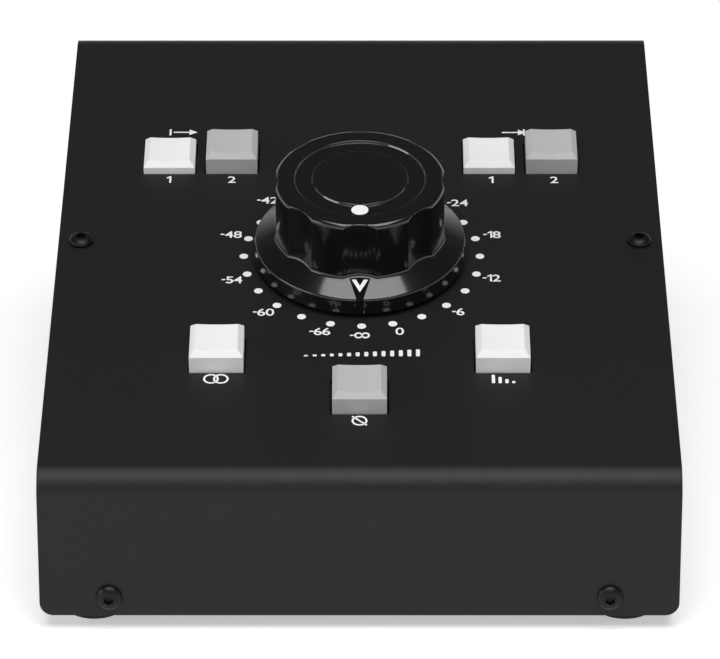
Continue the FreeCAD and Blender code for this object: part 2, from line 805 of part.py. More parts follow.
def ear(half_reach, bottom, top):
    """A bar across the switch that carries a plate or wafer out to its two pillars."""
    bar = block(2 * half_reach, PILLAR_SIZE, bottom, top)
    return turned(bar, pillar_turn)


def make_detent_plate():
    """The plate that closes the detent cup and holds the tops of the pillars."""
    plate = block(CUP_WIDTH, CUP_WIDTH, plate_bottom, cup_bottom)
    bar = ear(PILLAR_PLACE + PILLAR_SIZE / 2, plate_bottom, cup_bottom)
    return united([plate, bar]).cut(small_round(PLATE_HOLE_RADIUS, plate_bottom, cup_bottom))


def make_wafers():
    """Two insulating wafers with ears that sit in the pillars' slots."""
    wafers = []
    for top in wafer_tops:
        bottom = top - WAFER_THICKNESS
        disc = regular_prism(WAFER_SIDES, 2 * WAFER_RADIUS, bottom, top)
        bar = ear(PILLAR_PLACE - PILLAR_SIZE / 2 + PILLAR_SLOT, bottom, top)
        hole = regular_prism(WAFER_SIDES, 2 * WAFER_HOLE_RADIUS, bottom, top)
        wafers.append(united([disc, bar]).cut(hole))
    return Part.makeCompound(wafers)


def make_pillars():
    """Two posts from the detent plate to the board, slotted for the wafers' ears."""
    slots = [ear(PILLAR_PLACE - PILLAR_SIZE / 2 + PILLAR_SLOT, top - WAFER_THICKNESS, top)
             for top in wafer_tops]
    post = at(block(PILLAR_SIZE, PILLAR_SIZE, -BOARD_LEVEL, plate_bottom), PILLAR_PLACE, 0, 0)
    posts = [turned(post, pillar_turn + k * 180).cut(slots) for k in range(2)]
    return Part.makeCompound(posts)


def make_contacts():
    """Radial contact blades under both wafers, one for each step of the dial."""
    blades = []
    for bottom, turn in zip(contact_bottoms, wafer_turns):
        blade = Part.makeBox(CONTACT_OUTER - CONTACT_INNER, CONTACT_WIDTH, CONTACT_THICKNESS,
                             Vector(CONTACT_INNER, -CONTACT_WIDTH / 2, bottom))
        blades += [turned(blade, turn + k * rotor_step) for k in range(DIAL_STEPS)]
    return Part.makeCompound(blades)


def make_resistor_ladder():
    """One resistor from each contact to the next, round both wafers."""
    half_step = math.radians(rotor_step / 2)
    inner_edge = RESISTOR_PLACE - RESISTOR_WIDTH / 2
    between_blades = 2 * (inner_edge * math.tan(half_step) - CONTACT_WIDTH / 2 / math.cos(half_step))
    ladder_chip = between_blades - 2 * RESISTOR_CLEARANCE
    ladder = []
    for bottom, turn in zip(contact_bottoms, wafer_turns):
        top = bottom + CONTACT_THICKNESS
        chip = at(block(RESISTOR_WIDTH, ladder_chip, top - RESISTOR_HEIGHT, top), RESISTOR_PLACE, 0, 0)
        ladder += [on_dial(turned(chip, turn + (k + 0.5) * rotor_step)) for k in range(1, DIAL_STEPS)]
    return ladder


def make_switch_leads():
    """Square leads from the contact blades down to the board."""
    leads = []
    for bottom, turn in zip(contact_bottoms, wafer_turns):
        lead = at(block(LEAD_SIZE, LEAD_SIZE, -BOARD_LEVEL, bottom), LEAD_PLACE, 0, 0)
        step = 360 / LEADS_PER_WAFER
        leads += [on_dial(turned(lead, turn + k * step)) for k in range(LEADS_PER_WAFER)]
    return leads


def make_shaft():
    """The switch shaft, with a flat for the set screw."""
    bar = cylinder(SHAFT_RADIUS, shaft_bottom, SHAFT_TOP)
    flat = Part.makeBox(2 * SHAFT_RADIUS, SHAFT_FLAT, SHAFT_TOP - BOSS_LIFT,
                        Vector(-SHAFT_RADIUS, SHAFT_RADIUS - SHAFT_FLAT, BOSS_LIFT))
    return bar.cut(flat)


def make_detent_arm():
    """The bar that turns with the shaft and carries a sprung roller at each end."""
    bar = block(2 * DETENT_ARM_REACH, DETENT_ARM_WIDTH, detent_bottom, detent_top)
    slot_width = 2 * (ROLLER_RADIUS + ROLLER_GAP)
    slot = Part.makeBox(DETENT_ARM_REACH - SLOT_START, slot_width, detent_top - detent_bottom,
                        Vector(SLOT_START, -slot_width / 2, detent_bottom))
    bore = small_round(SHAFT_RADIUS, detent_bottom, detent_top)
    return bar.cut([bore] + [turned(slot, k * 180) for k in range(2)])


def make_detent_rollers():
    """Two steel rollers at the cup's notches."""
    roller = at(small_round(ROLLER_RADIUS, detent_bottom, detent_top), roller_place, 0, 0)
    return Part.makeCompound([turned(roller, k * 180) for k in range(2)])


def make_detent_springs():
    """The springs that press the rollers outwards."""
    end = roller_place - ROLLER_RADIUS - SPRING_SEAT_GAP
    spring = coil(DETENT_COIL_RADIUS, DETENT_WIRE, SLOT_START + SPRING_SEAT_GAP, end, DETENT_TURNS)
    middle = (detent_top + detent_bottom) / 2
    laid = facing(spring, Vector(0, 0, middle), Rotation(Vector(0, 1, 0), 90))
    return Part.makeCompound([turned(laid, k * 180) for k in range(2)])


def make_rotor_hub():
    """The insulating hub that carries the wipers through the wafers."""
    top = wafer_tops[0] + MOVING_GAP
    return hexagon(HUB_FLATS, hub_bottom, top).cut(small_round(SHAFT_RADIUS, hub_bottom, top))


def make_wipers():
    """One wiper arm under each wafer, a small gap from its contacts."""
    arms = []
    for top, turn in zip(wiper_tops, wafer_turns):
        arm = Part.makeBox(WIPER_REACH, WIPER_WIDTH, CONTACT_THICKNESS,
                           Vector(0, -WIPER_WIDTH / 2, top - CONTACT_THICKNESS))
        hub = hexagon(HUB_FLATS, top - CONTACT_THICKNESS, top)
        arms.append(turned(arm, turn).cut(hub))
    return Part.makeCompound(arms)


def make_panel_nut():
    """The nut that holds the rotary switch to the panel, hidden by the knob."""
    hole = small_round(BUSHING_RADIUS + THREAD_GAP, 0, PANEL_NUT_HEIGHT)
    return hexagon(PANEL_NUT_FLATS, 0, PANEL_NUT_HEIGHT).cut(hole)


# ---- push buttons ----

switch_bottom = -BOARD_LEVEL
foot_top = -SWITCH_TOP - SWITCH_ROOF - STEM_GAP
cap_top = CAP_WALL_TOP + CAP_BEVEL_RISE


def make_cap():
    """A square cap with bevelled shoulders, a scooped top and a socket for the stem."""
    half_top = CAP_SIZE / 2 - CAP_BEVEL_RUN
    wall = block(CAP_SIZE, CAP_SIZE, -CAP_SKIRT, cap_top)
    profile = prism([
        Vector(-CAP_SIZE / 2, -CAP_SKIRT, -CAP_SIZE / 2),
        Vector(CAP_SIZE / 2, -CAP_SKIRT, -CAP_SIZE / 2),
        Vector(CAP_SIZE / 2, CAP_WALL_TOP, -CAP_SIZE / 2),
        Vector(half_top, cap_top, -CAP_SIZE / 2),
        Vector(-half_top, cap_top, -CAP_SIZE / 2),
        Vector(-CAP_SIZE / 2, CAP_WALL_TOP, -CAP_SIZE / 2),
    ], CAP_SIZE)
    across = facing(profile, Vector(0, 0, 0), rotate_to_front())
    corner = CAP_SIZE / math.sqrt(2) - CAP_CORNER_CUT
    bounds = turned(block(2 * corner, 2 * corner, -CAP_SKIRT, cap_top), 45)
    blank = wall.common(across).common(turned(across, 90)).common(bounds)
    room = block(CAP_SIZE - 2 * CAP_WALL, CAP_SIZE - 2 * CAP_WALL, -CAP_SKIRT, CAP_ROOF)
    hub = block(HUB_WIDTH, HUB_WIDTH, HUB_BOTTOM, CAP_ROOF)
    socket = block(STEM_WIDTH, STEM_WIDTH, -CAP_SKIRT, CAP_ROOF)
    axis_height = cap_top + math.sqrt(DISH_RADIUS ** 2 - half_top ** 2)
    scoop = Part.makeCylinder(DISH_RADIUS, CAP_SIZE, Vector(0, -CAP_SIZE / 2, axis_height), Vector(0, 1, 0))
    return blank.cut([room.cut(hub), socket, scoop])


def make_plunger():
    """The switch's stem, with the foot that keeps it in its housing."""
    foot = block(PLUNGER_FOOT_WIDTH, PLUNGER_FOOT_WIDTH, foot_top - PLUNGER_FOOT_HEIGHT, foot_top)
    return united([foot, block(STEM_WIDTH, STEM_WIDTH, foot_top, CAP_ROOF)])


def make_return_spring(drop):
    """The coil between a switch housing and a cap that stands lower by a drop."""
    return coil(RETURN_COIL_RADIUS, RETURN_WIRE, -SWITCH_TOP + SPRING_SEAT_GAP,
                HUB_BOTTOM - drop - SPRING_SEAT_GAP, RETURN_TURNS)


def make_switch_housing():
    """A push switch's case on the board, open at the top for its stem."""
    case = block(SWITCH_SIZE, SWITCH_SIZE, switch_bottom, -SWITCH_TOP)
    room = SWITCH_SIZE - 2 * SWITCH_WALL
    cavity = block(room, room, switch_bottom + SWITCH_FLOOR, -SWITCH_TOP - SWITCH_ROOF)
    mouth_size = STEM_WIDTH + 2 * STEM_GAP
    mouth = block(mouth_size, mouth_size, switch_bottom + SWITCH_FLOOR, -SWITCH_TOP)
    return case.cut([cavity, mouth])


def switch_pin_places():
    """Where each push switch's pins go through the board."""
    return [(x + side * PIN_PITCH / 2, v + side * PIN_PITCH / 2)
            for _, x, v, _ in buttons
            for side in (-1, 1)]


def make_switch_housings():
    """The seven push switch cases."""
    housing = make_switch_housing()
    return Part.makeCompound([on_panel(at(housing, x, v, 0)) for _, x, v, _ in buttons])


def make_switch_pins():
    """The ends of the push switches' solder pins, under the board."""
    pin = block(PIN_SIZE, PIN_SIZE, board_bottom - PIN_TAIL, board_bottom)
    return [on_panel(at(pin, x, v, 0)) for x, v in switch_pin_places()]


# ---- main board ----

board_bottom = -BOARD_LEVEL - BOARD_THICKNESS


def make_main_board():
    """The board that carries the push switches and the rotary switch."""
    board = Part.makeBox(2 * board_half_width, board_rear_v - BOARD_FRONT_V, BOARD_THICKNESS,
                         Vector(-board_half_width, BOARD_FRONT_V, board_bottom))
    screw_hole = small_round(SCREW_HOLE_RADIUS, board_bottom, -BOARD_LEVEL)
    return board.cut([at(screw_hole, x, v, 0) for x, v in standoff_places])


def make_standoffs():
    """Hexagonal standoffs pressed into the cover, holding the main board."""
    bore = small_round(SCREW_RADIUS + THREAD_GAP, -BOARD_LEVEL, -BOARD_LEVEL + STANDOFF_BORE_DEPTH)
    standoff = hexagon(STANDOFF_FLATS, -BOARD_LEVEL, -SHEET).cut(bore)
    return Part.makeCompound([on_panel(at(standoff, x, v, 0)) for x, v in standoff_places])


def make_board_screws():
    """Pan-head screws from below, through the board into the standoffs."""
    head = small_round(PAN_HEAD_RADIUS, board_bottom - PAN_HEAD_HEIGHT, board_bottom)
    screw = united([head, small_round(SCREW_RADIUS, board_bottom, board_bottom + PAN_SCREW_LENGTH)])
    return Part.makeCompound([on_panel(at(screw, x, v, 0)) for x, v in standoff_places])


def make_dim_pad():
    """The resistors of the fixed pad beside the dim button."""
    first_v = SIDE_ROW_V - (DIM_RESISTORS - 1) * DIM_RESISTOR_PITCH / 2
    chip = block(PAD_RESISTOR_LENGTH, RESISTOR_WIDTH, -BOARD_LEVEL, -BOARD_LEVEL + RESISTOR_HEIGHT)
    return [on_panel(at(chip, side_x - DIM_RESISTOR_OFFSET, first_v + k * DIM_RESISTOR_PITCH, 0))
            for k in range(DIM_RESISTORS)]


# ---- jacks ----

jack_seat = -SHEET
jack_front = jack_seat - JACK_DEPTH
jack_board_front = jack_front - BOARD_THICKNESS


def make_jack():
    """A jack along Z, its bushing through the rear wall, with a blind bore for the plug."""
    case = block(JACK_WIDTH, JACK_HEIGHT, jack_front, jack_seat)
    bushing = small_round(JACK_BUSHING_RADIUS, jack_seat, jack_reach)
    bore = cylinder(JACK_BORE_RADIUS, jack_seat - JACK_BORE_DEPTH, jack_reach)
    return united([case, bushing]).cut(bore)


def jack_row(shape, row):
    """Copies of a shape drawn along Z, one at each jack of a row."""
    return [facing(shape, place, rotate_to_rear()) for place in jack_places[row]]


def both_rows(shape):
    """Copies of a shape at all eight jacks."""
    return Part.makeCompound([copy for row in jack_places for copy in jack_row(shape, row)])


def make_jack_nut():
    """A hexagon nut that holds a jack to the rear wall."""
    hole = small_round(JACK_BUSHING_RADIUS + THREAD_GAP, 0, JACK_NUT_HEIGHT)
    return hexagon(JACK_NUT_FLATS, 0, JACK_NUT_HEIGHT).cut(hole)


def make_jack_pins():
    """The ends of each jack's three solder pins, in front of the jack board."""
    pin = block(PIN_SIZE, PIN_SIZE, jack_board_front - PIN_TAIL, jack_board_front)
    pins = [at(pin, 0, (k - (JACK_PINS - 1) / 2) * JACK_PIN_PITCH, 0) for k in range(JACK_PINS)]
    return [copy for pin in pins for row in jack_places for copy in jack_row(pin, row)]


def make_jack_board():
    """The upright board that joins the eight jacks."""
    half_width = jack_outer_x + JACK_WIDTH / 2 + JACK_BOARD_MARGIN
    low = INPUT_ROW_Z - JACK_HEIGHT / 2 - JACK_BOARD_MARGIN
    high = OUTPUT_ROW_Z + JACK_HEIGHT / 2 + JACK_BOARD_MARGIN
    return Part.makeBox(2 * half_width, BOARD_THICKNESS, high - low,
                        Vector(-half_width, rear_y + jack_board_front, low))


def make_headers():
    """A ribbon connector under the main board and one on the jack board."""
    upper = at(block(HEADER_WIDTH, HEADER_SIZE, board_bottom - HEADER_HEIGHT, board_bottom), 0, header_v, 0)
    lower = block(HEADER_WIDTH, HEADER_SIZE, jack_board_front - HEADER_HEIGHT, jack_board_front)
    return Part.makeCompound([
        on_panel(upper),
        facing(lower, Vector(0, rear_y, JACK_HEADER_Z), rotate_to_rear())])


def make_ribbon():
    """The flat cable between the two boards."""
    start = panel.multVec(Vector(0, header_v - RIBBON_THICKNESS / 2, board_bottom - HEADER_HEIGHT))
    heading = panel.Rotation.multVec(Vector(0, 0, -1))
    end = Vector(0, rear_y + jack_board_front - HEADER_HEIGHT, JACK_HEADER_Z - RIBBON_THICKNESS / 2)
    corner = start + heading * ((start.z - end.z) / -heading.z)
    path = [end, corner, start]
    return folded_sheet(path, RIBBON_BEND_RADIUS + RIBBON_THICKNESS, RIBBON_THICKNESS, RIBBON_WIDTH)


# ---- assembly ----

parts = {
    "top_cover": make_cover(),
    "base_tray": make_tray(),
    "case_screws": make_case_screws(),
    "weld_nuts": make_weld_nuts(),
    "rubber_feet": make_feet(),
    "knob": on_dial(make_knob()),
    "index_dot": on_dial(make_index_dot()),
    "pointer_chevron": on_dial(make_chevron()),
    "knob_insert": on_dial(make_insert()),
    "set_screw": on_dial(make_set_screw()),
    "switch_shaft": on_dial(make_shaft()),
    "detent_arm": on_dial(make_detent_arm()),
    "detent_rollers": on_dial(make_detent_rollers()),
    "detent_springs": on_dial(make_detent_springs()),
    "rotor_hub": on_dial(make_rotor_hub()),
    "wipers": on_dial(make_wipers()),
    "switch_frame": on_dial(make_switch_frame()),
    "panel_nut": on_dial(make_panel_nut()),
    "detent_plate": on_dial(make_detent_plate()),
    "stator_wafers": on_dial(make_wafers()),
    "stator_contacts": on_dial(make_contacts()),
    "wafer_pillars": on_dial(make_pillars()),
    "attenuator_resistors": Part.makeCompound(make_resistor_ladder() + make_dim_pad()),
    "switch_housings": make_switch_housings(),
    "solder_pins": Part.makeCompound(make_switch_leads() + make_switch_pins() + make_jack_pins()),
    "main_board": on_panel(make_main_board()),
    "board_standoffs": make_standoffs(),
    "board_screws": make_board_screws(),
    "input_jacks": Part.makeCompound(jack_row(make_jack(), "input")),
    "output_jacks": Part.makeCompound(jack_row(make_jack(), "output")),
    "jack_nuts": both_rows(make_jack_nut()),
    "jack_board": make_jack_board(),
    "ribbon_headers": make_headers(),
    "ribbon_cable": make_ribbon(),
}

for name, x, v, latched in buttons:
    drop = LATCH_DROP if latched else 0.0
    parts[name + "_cap"] = on_panel(at(make_cap(), x, v, -drop))
    parts[name + "_plunger"] = on_panel(at(make_plunger(), x, v, -drop))
    parts[name + "_spring"] = on_panel(at(make_return_spring(drop), x, v, 0))

os.makedirs("parts", exist_ok=True)
for name, shape in parts.items():
    shape.exportStep(os.path.join("parts", name + ".step"))
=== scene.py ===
"""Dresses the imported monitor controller: case, level knob, push buttons, jacks, panel print, studio.

Shapes are drawn in millimetres in their own axes and brought to metres as they are placed.
Panel axes: x across, v up the slope from the sharp front corner, w straight out of the panel.
"""

from __future__ import annotations

import json
import logging
import math
from dataclasses import dataclass
from enum import Enum
from typing import Iterable, Sequence, Union

import bmesh
import bpy
from mathutils import Matrix, Vector


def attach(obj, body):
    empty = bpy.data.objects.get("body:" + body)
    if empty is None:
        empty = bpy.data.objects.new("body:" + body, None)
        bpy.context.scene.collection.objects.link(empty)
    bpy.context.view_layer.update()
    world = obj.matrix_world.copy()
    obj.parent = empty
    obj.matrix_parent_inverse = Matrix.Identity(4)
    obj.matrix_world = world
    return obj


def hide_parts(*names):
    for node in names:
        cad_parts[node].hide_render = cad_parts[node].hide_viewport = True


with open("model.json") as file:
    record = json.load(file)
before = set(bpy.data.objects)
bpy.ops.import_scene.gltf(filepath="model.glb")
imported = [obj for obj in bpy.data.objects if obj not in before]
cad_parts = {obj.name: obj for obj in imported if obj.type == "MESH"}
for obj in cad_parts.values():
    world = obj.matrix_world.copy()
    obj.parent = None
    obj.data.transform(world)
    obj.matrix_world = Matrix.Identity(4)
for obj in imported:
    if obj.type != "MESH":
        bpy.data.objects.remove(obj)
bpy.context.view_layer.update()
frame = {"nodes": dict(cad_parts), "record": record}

log = logging.getLogger("monitor_controller")

MM = 0.001
METRES = Matrix.Scale(MM, 4)
FULL_TURN = 2 * math.pi
Colour = tuple[float, float, float, float]
Corner = tuple[float, float, float]
Point = tuple[float, float]
Shape = bmesh.types.BMesh


class Body(Enum):
    """The bodies that pieces ride on, apart from the buttons' own."""

    CASE = "case"
    KNOB = "level_knob"


class Cut(Enum):
    """What a tool shape does to another."""

    TAKE = "DIFFERENCE"
    KEEP = "INTERSECT"


# ---- shader graphs ----


def tone(red: float, green: float, blue: float) -> Colour:
    """A display colour from 0 to 255 as the linear colour that shaders take.

    Args:
        red: The red share.
        green: The green share.
        blue: The blue share.

    Returns:
        Linear red, green and blue with a full alpha.
    """
    parts = [value / 255 for value in (red, green, blue)]
    linear = [p / 12.92 if p <= 0.04045 else ((p + 0.055) / 1.055) ** 2.4 for p in parts]
    return (linear[0], linear[1], linear[2], 1.0)


class Signal:
    """An output socket that can be used in an expression."""

    def __init__(self, graph: Graph, socket: bpy.types.NodeSocket) -> None:
        """Keeps the graph that new nodes go into."""
        self.graph = graph
        self.socket = socket

    def _math(self, operation: str, first: Operand, second: Operand) -> Signal:
        """The result of a new Math node."""
        node = self.graph.node("ShaderNodeMath", {"operation": operation}, {0: first, 1: second})
        return Signal(self.graph, node.outputs[0])

    def __add__(self, other: Operand) -> Signal:
        """Adds."""
        return self._math("ADD", self, other)

    def __radd__(self, other: Operand) -> Signal:
        """Adds to a number."""
        return self._math("ADD", other, self)

    def __sub__(self, other: Operand) -> Signal:
        """Takes away."""
        return self._math("SUBTRACT", self, other)

    def __rsub__(self, other: Operand) -> Signal:
        """Takes from a number."""
        return self._math("SUBTRACT", other, self)

    def __mul__(self, other: Operand) -> Signal:
        """Multiplies."""
        return self._math("MULTIPLY", self, other)

    def __rmul__(self, other: Operand) -> Signal:
        """Multiplies a number."""
        return self._math("MULTIPLY", other, self)

    def above(self, level: Operand) -> Signal:
        """One where this is greater than a level, and zero elsewhere."""
        return self._math("GREATER_THAN", self, level)

    def at_most(self, level: Operand) -> Signal:
        """The lesser of this and a level."""
        return self._math("MINIMUM", self, level)

    def sine(self) -> Signal:
        """The sine of this."""
        return self._math("SINE", self, 0.0)


Operand = Union[Signal, float]
Setting = Union[Signal, Colour, float, tuple[float, float, float]]


class Graph:
    """A node tree that is filled by expressions."""

    def __init__(self, owner: Union[bpy.types.Material, bpy.types.World]) -> None:
        """Empties the owner's node tree.

        Args:
            owner: The material or world whose nodes are made.
        """
        owner.use_nodes = True
        self.tree = owner.node_tree
        self.tree.nodes.clear()

    def node(self, kind: str, settings: dict[str, object] | None = None,
             inputs: dict[Union[str, int], Setting] | None = None) -> bpy.types.Node:
        """Adds any node.

        Args:
            kind: The node's type.
            settings: Its properties, such as a Math node's operation.
            inputs: Values or signals by socket number, identifier or name.

        Returns:
            The node.
        """
        made = self.tree.nodes.new(kind)
        for key, value in (settings or {}).items():
            setattr(made, key, value)
        for key, value in (inputs or {}).items():
            socket = self._socket(made, key)
            if isinstance(value, Signal):
                self.tree.links.new(value.socket, socket)
            else:
                socket.default_value = value
        return made

    @staticmethod
    def _socket(made: bpy.types.Node, key: Union[str, int]) -> bpy.types.NodeSocket:
        """Finds an input socket.

        Args:
            made: The node.
            key: A number, an identifier or a name.

        Returns:
            The socket.
        """
        if isinstance(key, int):
            return made.inputs[key]
        for socket in made.inputs:
            if socket.identifier == key:
                return socket
        return made.inputs[key]

    def out(self, made: bpy.types.Node, key: str) -> Signal:
        """A node's output by identifier or name."""
        for socket in made.outputs:
            if key in (socket.identifier, socket.name) and socket.enabled:
                return Signal(self, socket)
        raise KeyError(key)

    def place(self) -> Signal:
        """Where a point lies on the object at rest, in metres."""
        return self.out(self.node("ShaderNodeTexCoord"), "Object")

    def axis(self, name: str) -> Signal:
        """One coordinate of the place, X, Y or Z."""
        return self.out(self.node("ShaderNodeSeparateXYZ", None, {0: self.place()}), name)

    def noise(self, scale: float, detail: float = 2.0) -> Signal:
        """Smooth noise from zero to one, in cells per metre."""
        node = self.node("ShaderNodeTexNoise", None,
                         {"Vector": self.place(), "Scale": scale, "Detail": detail})
        return self.out(node, "Fac")

    def cells(self, scale: float) -> Signal:
        """The distance to the nearest of scattered points, per cell."""
        node = self.node("ShaderNodeTexVoronoi", None, {"Vector": self.place(), "Scale": scale})
        return self.out(node, "Distance")

    def blend(self, share: Operand, first: Setting, second: Setting) -> Signal:
        """A colour between two, by the share of the second."""
        node = self.node("ShaderNodeMix", {"data_type": "RGBA"},
                         {"Factor_Float": share, "A_Color": first, "B_Color": second})
        return self.out(node, "Result_Color")

    def between(self, value: Signal, reach: Point, levels: Point) -> Signal:
        """A level that runs from one to another as a value crosses its reach.

        Args:
            value: What is crossed.
            reach: Where the run starts and ends.
            levels: The levels at those two values.

        Returns:
            The level's socket.
        """
        node = self.node("ShaderNodeMapRange", None, {
            "Value": value, "From Min": reach[0], "From Max": reach[1],
            "To Min": levels[0], "To Max": levels[1]})
        return self.out(node, "Result")

    def relief(self, height: Signal, strength: float, distance: float) -> Signal:
        """A normal disturbed by a height, of which one stands for a distance in metres."""
        node = self.node("ShaderNodeBump", None,
                         {"Strength": strength, "Distance": distance, "Height": height})
        return self.out(node, "Normal")

    def surface(self, shader: Signal, kind: str = "ShaderNodeOutputMaterial") -> None:
        """Connects the last shader to the output."""
        self.node(kind, None, {"Surface": shader})


# ---- finishes ----


@dataclass(frozen=True)
class Finish:
    """A plain moulded or painted surface, and the base of the others."""

    name: str
    colour: Colour
    roughness: float = 0.5
    metallic: float = 0.0
    specular: float = 0.5
    variation: float = 0.12
    grain: float = 900.0
    grain_depth: float = 0.02

    def shade(self, share: float) -> Colour:
        """The colour made lighter or darker by a factor."""
        red, green, blue = (min(1.0, value * share) for value in self.colour[:3])
        return (red, green, blue, 1.0)

    def tint(self, graph: Graph) -> Setting:
        """The colour over the surface."""
        return graph.blend(graph.noise(70.0, 3.0), self.colour, self.shade(1 - self.variation))

    def gloss(self, graph: Graph) -> Setting:
        """The roughness over the surface."""
        return self.roughness + (graph.noise(260.0, 3.0) - 0.5) * 0.1

    def normal(self, graph: Graph) -> Signal:
        """The fine relief of the surface."""
        return graph.relief(graph.noise(self.grain, 2.0), 0.3, self.grain_depth * MM)

    def extras(self, graph: Graph) -> dict[Union[str, int], Setting]:
        """Inputs of the shader that this finish adds."""
        return {}

    def material(self) -> bpy.types.Material:
        """The finish as a material.

        Returns:
            The material, made once for each name.
        """
        known = bpy.data.materials.get(self.name)
        if known is not None:
            return known
        made = bpy.data.materials.new(self.name)
        graph = Graph(made)
        inputs: dict[Union[str, int], Setting] = {
            "Base Color": self.tint(graph),
            "Roughness": self.gloss(graph),
            "Metallic": self.metallic,
            "Specular IOR Level": self.specular,
            "Normal": self.normal(graph),
        }
        inputs.update(self.extras(graph))
        shader = graph.node("ShaderNodeBsdfPrincipled", None, inputs)
        graph.surface(graph.out(shader, "BSDF"))
        return made


@dataclass(frozen=True)
class PowderCoat(Finish):
    """Baked paint with a fine orange-peel skin."""

    def tint(self, graph: Graph) -> Setting:
        """Near-black paint with barely lighter clouds and specks.

        Args:
            graph: The nodes of this finish.

        Returns:
            The colour's socket.
        """
        clouds = graph.noise(45.0, 4.0) * 0.6
        specks = graph.noise(5200.0, 0.0).above(0.66) * 0.4
        return graph.blend(clouds + specks, self.colour, self.shade(1 + 2 * self.variation))

    def gloss(self, graph: Graph) -> Setting:
        """A satin level that varies slightly with the peel."""
        return self.roughness + (graph.noise(1500.0, 1.0) - 0.5) * 0.12

    def normal(self, graph: Graph) -> Signal:
        """The peel, with finer grit on it.

        Args:
            graph: The nodes of this finish.

        Returns:
            The normal's socket.
        """
        peel = graph.noise(1300.0, 1.0)
        grit = graph.noise(4200.0, 2.0)
        return graph.relief(peel * 0.7 + grit * 0.3, 0.35, self.grain_depth * MM)


@dataclass(frozen=True)
class KnobMoulding(Finish):
    """Polished plastic under a clear skin, left dull in the floor of the sunk pointer."""

    coat: float = 0.1
    axis_place: tuple[float, float] = (-8.337, 56.505)
    tilt: float = 14.0
    rim: tuple[float, float] = (24.5, 4.95)
    slope: float = 0.55
    reach: tuple[float, float] = (18.9, 24.49)
    tip: float = 0.75
    taper: float = 0.35
    sunk: float = 0.2

    def _grained(self, graph: Graph) -> Signal:
        """One on the pointer's floor, just under the cone, and zero elsewhere.

        Args:
            graph: The nodes of this finish.

        Returns:
            The mask's socket.
        """
        lean = math.radians(self.tilt)
        along = graph.axis("Y") - self.axis_place[0] * MM
        above = graph.axis("Z") - self.axis_place[1] * MM
        outward = along * -math.cos(lean) - above * math.sin(lean)
        height = above * math.cos(lean) - along * math.sin(lean)
        cone = (self.rim[0] * MM - outward) * self.slope + self.rim[1] * MM
        aside = graph.axis("X")
        half = (self.rim[0] * MM - outward) * self.taper + self.tip * MM
        return ((cone - height).above(self.sunk * MM) * outward.above(self.reach[0] * MM)
                * (1.0 - outward.above(self.reach[1] * MM)) * (half * half).above(aside * aside))

    def gloss(self, graph: Graph) -> Setting:
        """Faint smears under the skin, and the dull floor of the pointer."""
        return self.roughness + (graph.noise(55.0, 4.0) - 0.45) * 0.05 + self._grained(graph) * 0.5

    def normal(self, graph: Graph) -> Signal:
        """The faint unevenness of a moulded surface."""
        return graph.relief(graph.noise(self.grain, 0.0), 0.10, self.grain_depth * MM)

    def extras(self, graph: Graph) -> dict[Union[str, int], Setting]:
        """The clear skin, which the pointer's floor is without."""
        return {"Coat Weight": 1.0 - self._grained(graph), "Coat Roughness": self.coat, "Coat IOR": 1.56}


@dataclass(frozen=True)
class MilkyMouldingWithPaintedGlow(Finish):
    """Pale plastic that lets some light through, with a painted glow: it also emits its own colour."""

    depth: float = 6.5
    # painted glow: how strongly the cap emits its own colour, as if lit
    painted_glow: float = 0.18

    def extras(self, graph: Graph) -> dict[Union[str, int], Setting]:
        """Light that spreads inside the wall, and a painted glow of the cap's own colour that lights it
        though it is no lamp.
        """
        return {"Subsurface Weight": 1.0, "Subsurface Radius": (1.0, 0.96, 0.88),
                "Subsurface Scale": self.depth * MM, "Emission Color": self.colour,
                "Emission Strength": self.painted_glow}


@dataclass(frozen=True)
class BrightMetal(Finish):
    """Plated, turned or cast metal."""

    def gloss(self, graph: Graph) -> Setting:
        """Fine tool marks."""
        return self.roughness + (graph.noise(800.0, 4.0) - 0.5) * 0.22

    def normal(self, graph: Graph) -> Signal:
        """The marks' relief."""
        return graph.relief(graph.noise(self.grain, 3.0), 0.25, self.grain_depth * MM)


@dataclass(frozen=True)
class FootRubber(Finish):
    """Dull rubber with a pebbled skin."""

    def normal(self, graph: Graph) -> Signal:
        """Pebbles."""
        return graph.relief(1.0 - graph.cells(self.grain), 0.4, self.grain_depth * MM)


@dataclass(frozen=True)
class FibreBoard(Finish):
    """Resin board with a woven core showing through, and copper tracks where it has them."""

    weave: float = 0.9
    tracks: float = 0.0

    def tint(self, graph: Graph) -> Setting:
        """The weave, and lighter tracks under the lacquer.

        Args:
            graph: The nodes of this finish.

        Returns:
            The colour's socket.
        """
        pitch = FULL_TURN / (self.weave * MM)
        warp = (graph.axis("X") * pitch).sine() * (graph.axis("Y") * pitch).sine()
        woven = graph.blend(warp * 0.5 + 0.5, self.colour, self.shade(0.7))
        if not self.tracks:
            return woven
        copper = graph.node("ShaderNodeTexBrick", {"offset": 0.35},
                            {"Vector": graph.place(), "Scale": self.tracks, "Mortar Size": 0.045,
                             "Brick Width": 1.4, "Row Height": 0.3})
        return graph.blend(graph.out(copper, "Fac") * 0.7, woven, self.shade(2.2))


@dataclass(frozen=True)
class RibbonJacket(Finish):
    """Ribbon cable, ridged at each conductor, with one marked edge."""

    conductors: float = 1.27
    edge: float = 8.8

    def tint(self, graph: Graph) -> Setting:
        """Grey jacket with a red edge conductor."""
        marked = graph.axis("X").above(self.edge * MM)
        return graph.blend(marked, self.colour, tone(168, 40, 34))

    def normal(self, graph: Graph) -> Signal:
        """One ridge for each conductor."""
        ridges = (graph.axis("X") * (FULL_TURN / (self.conductors * MM))).sine() * 0.5 + 0.5
        return graph.relief(ridges, 0.8, 0.3 * MM)


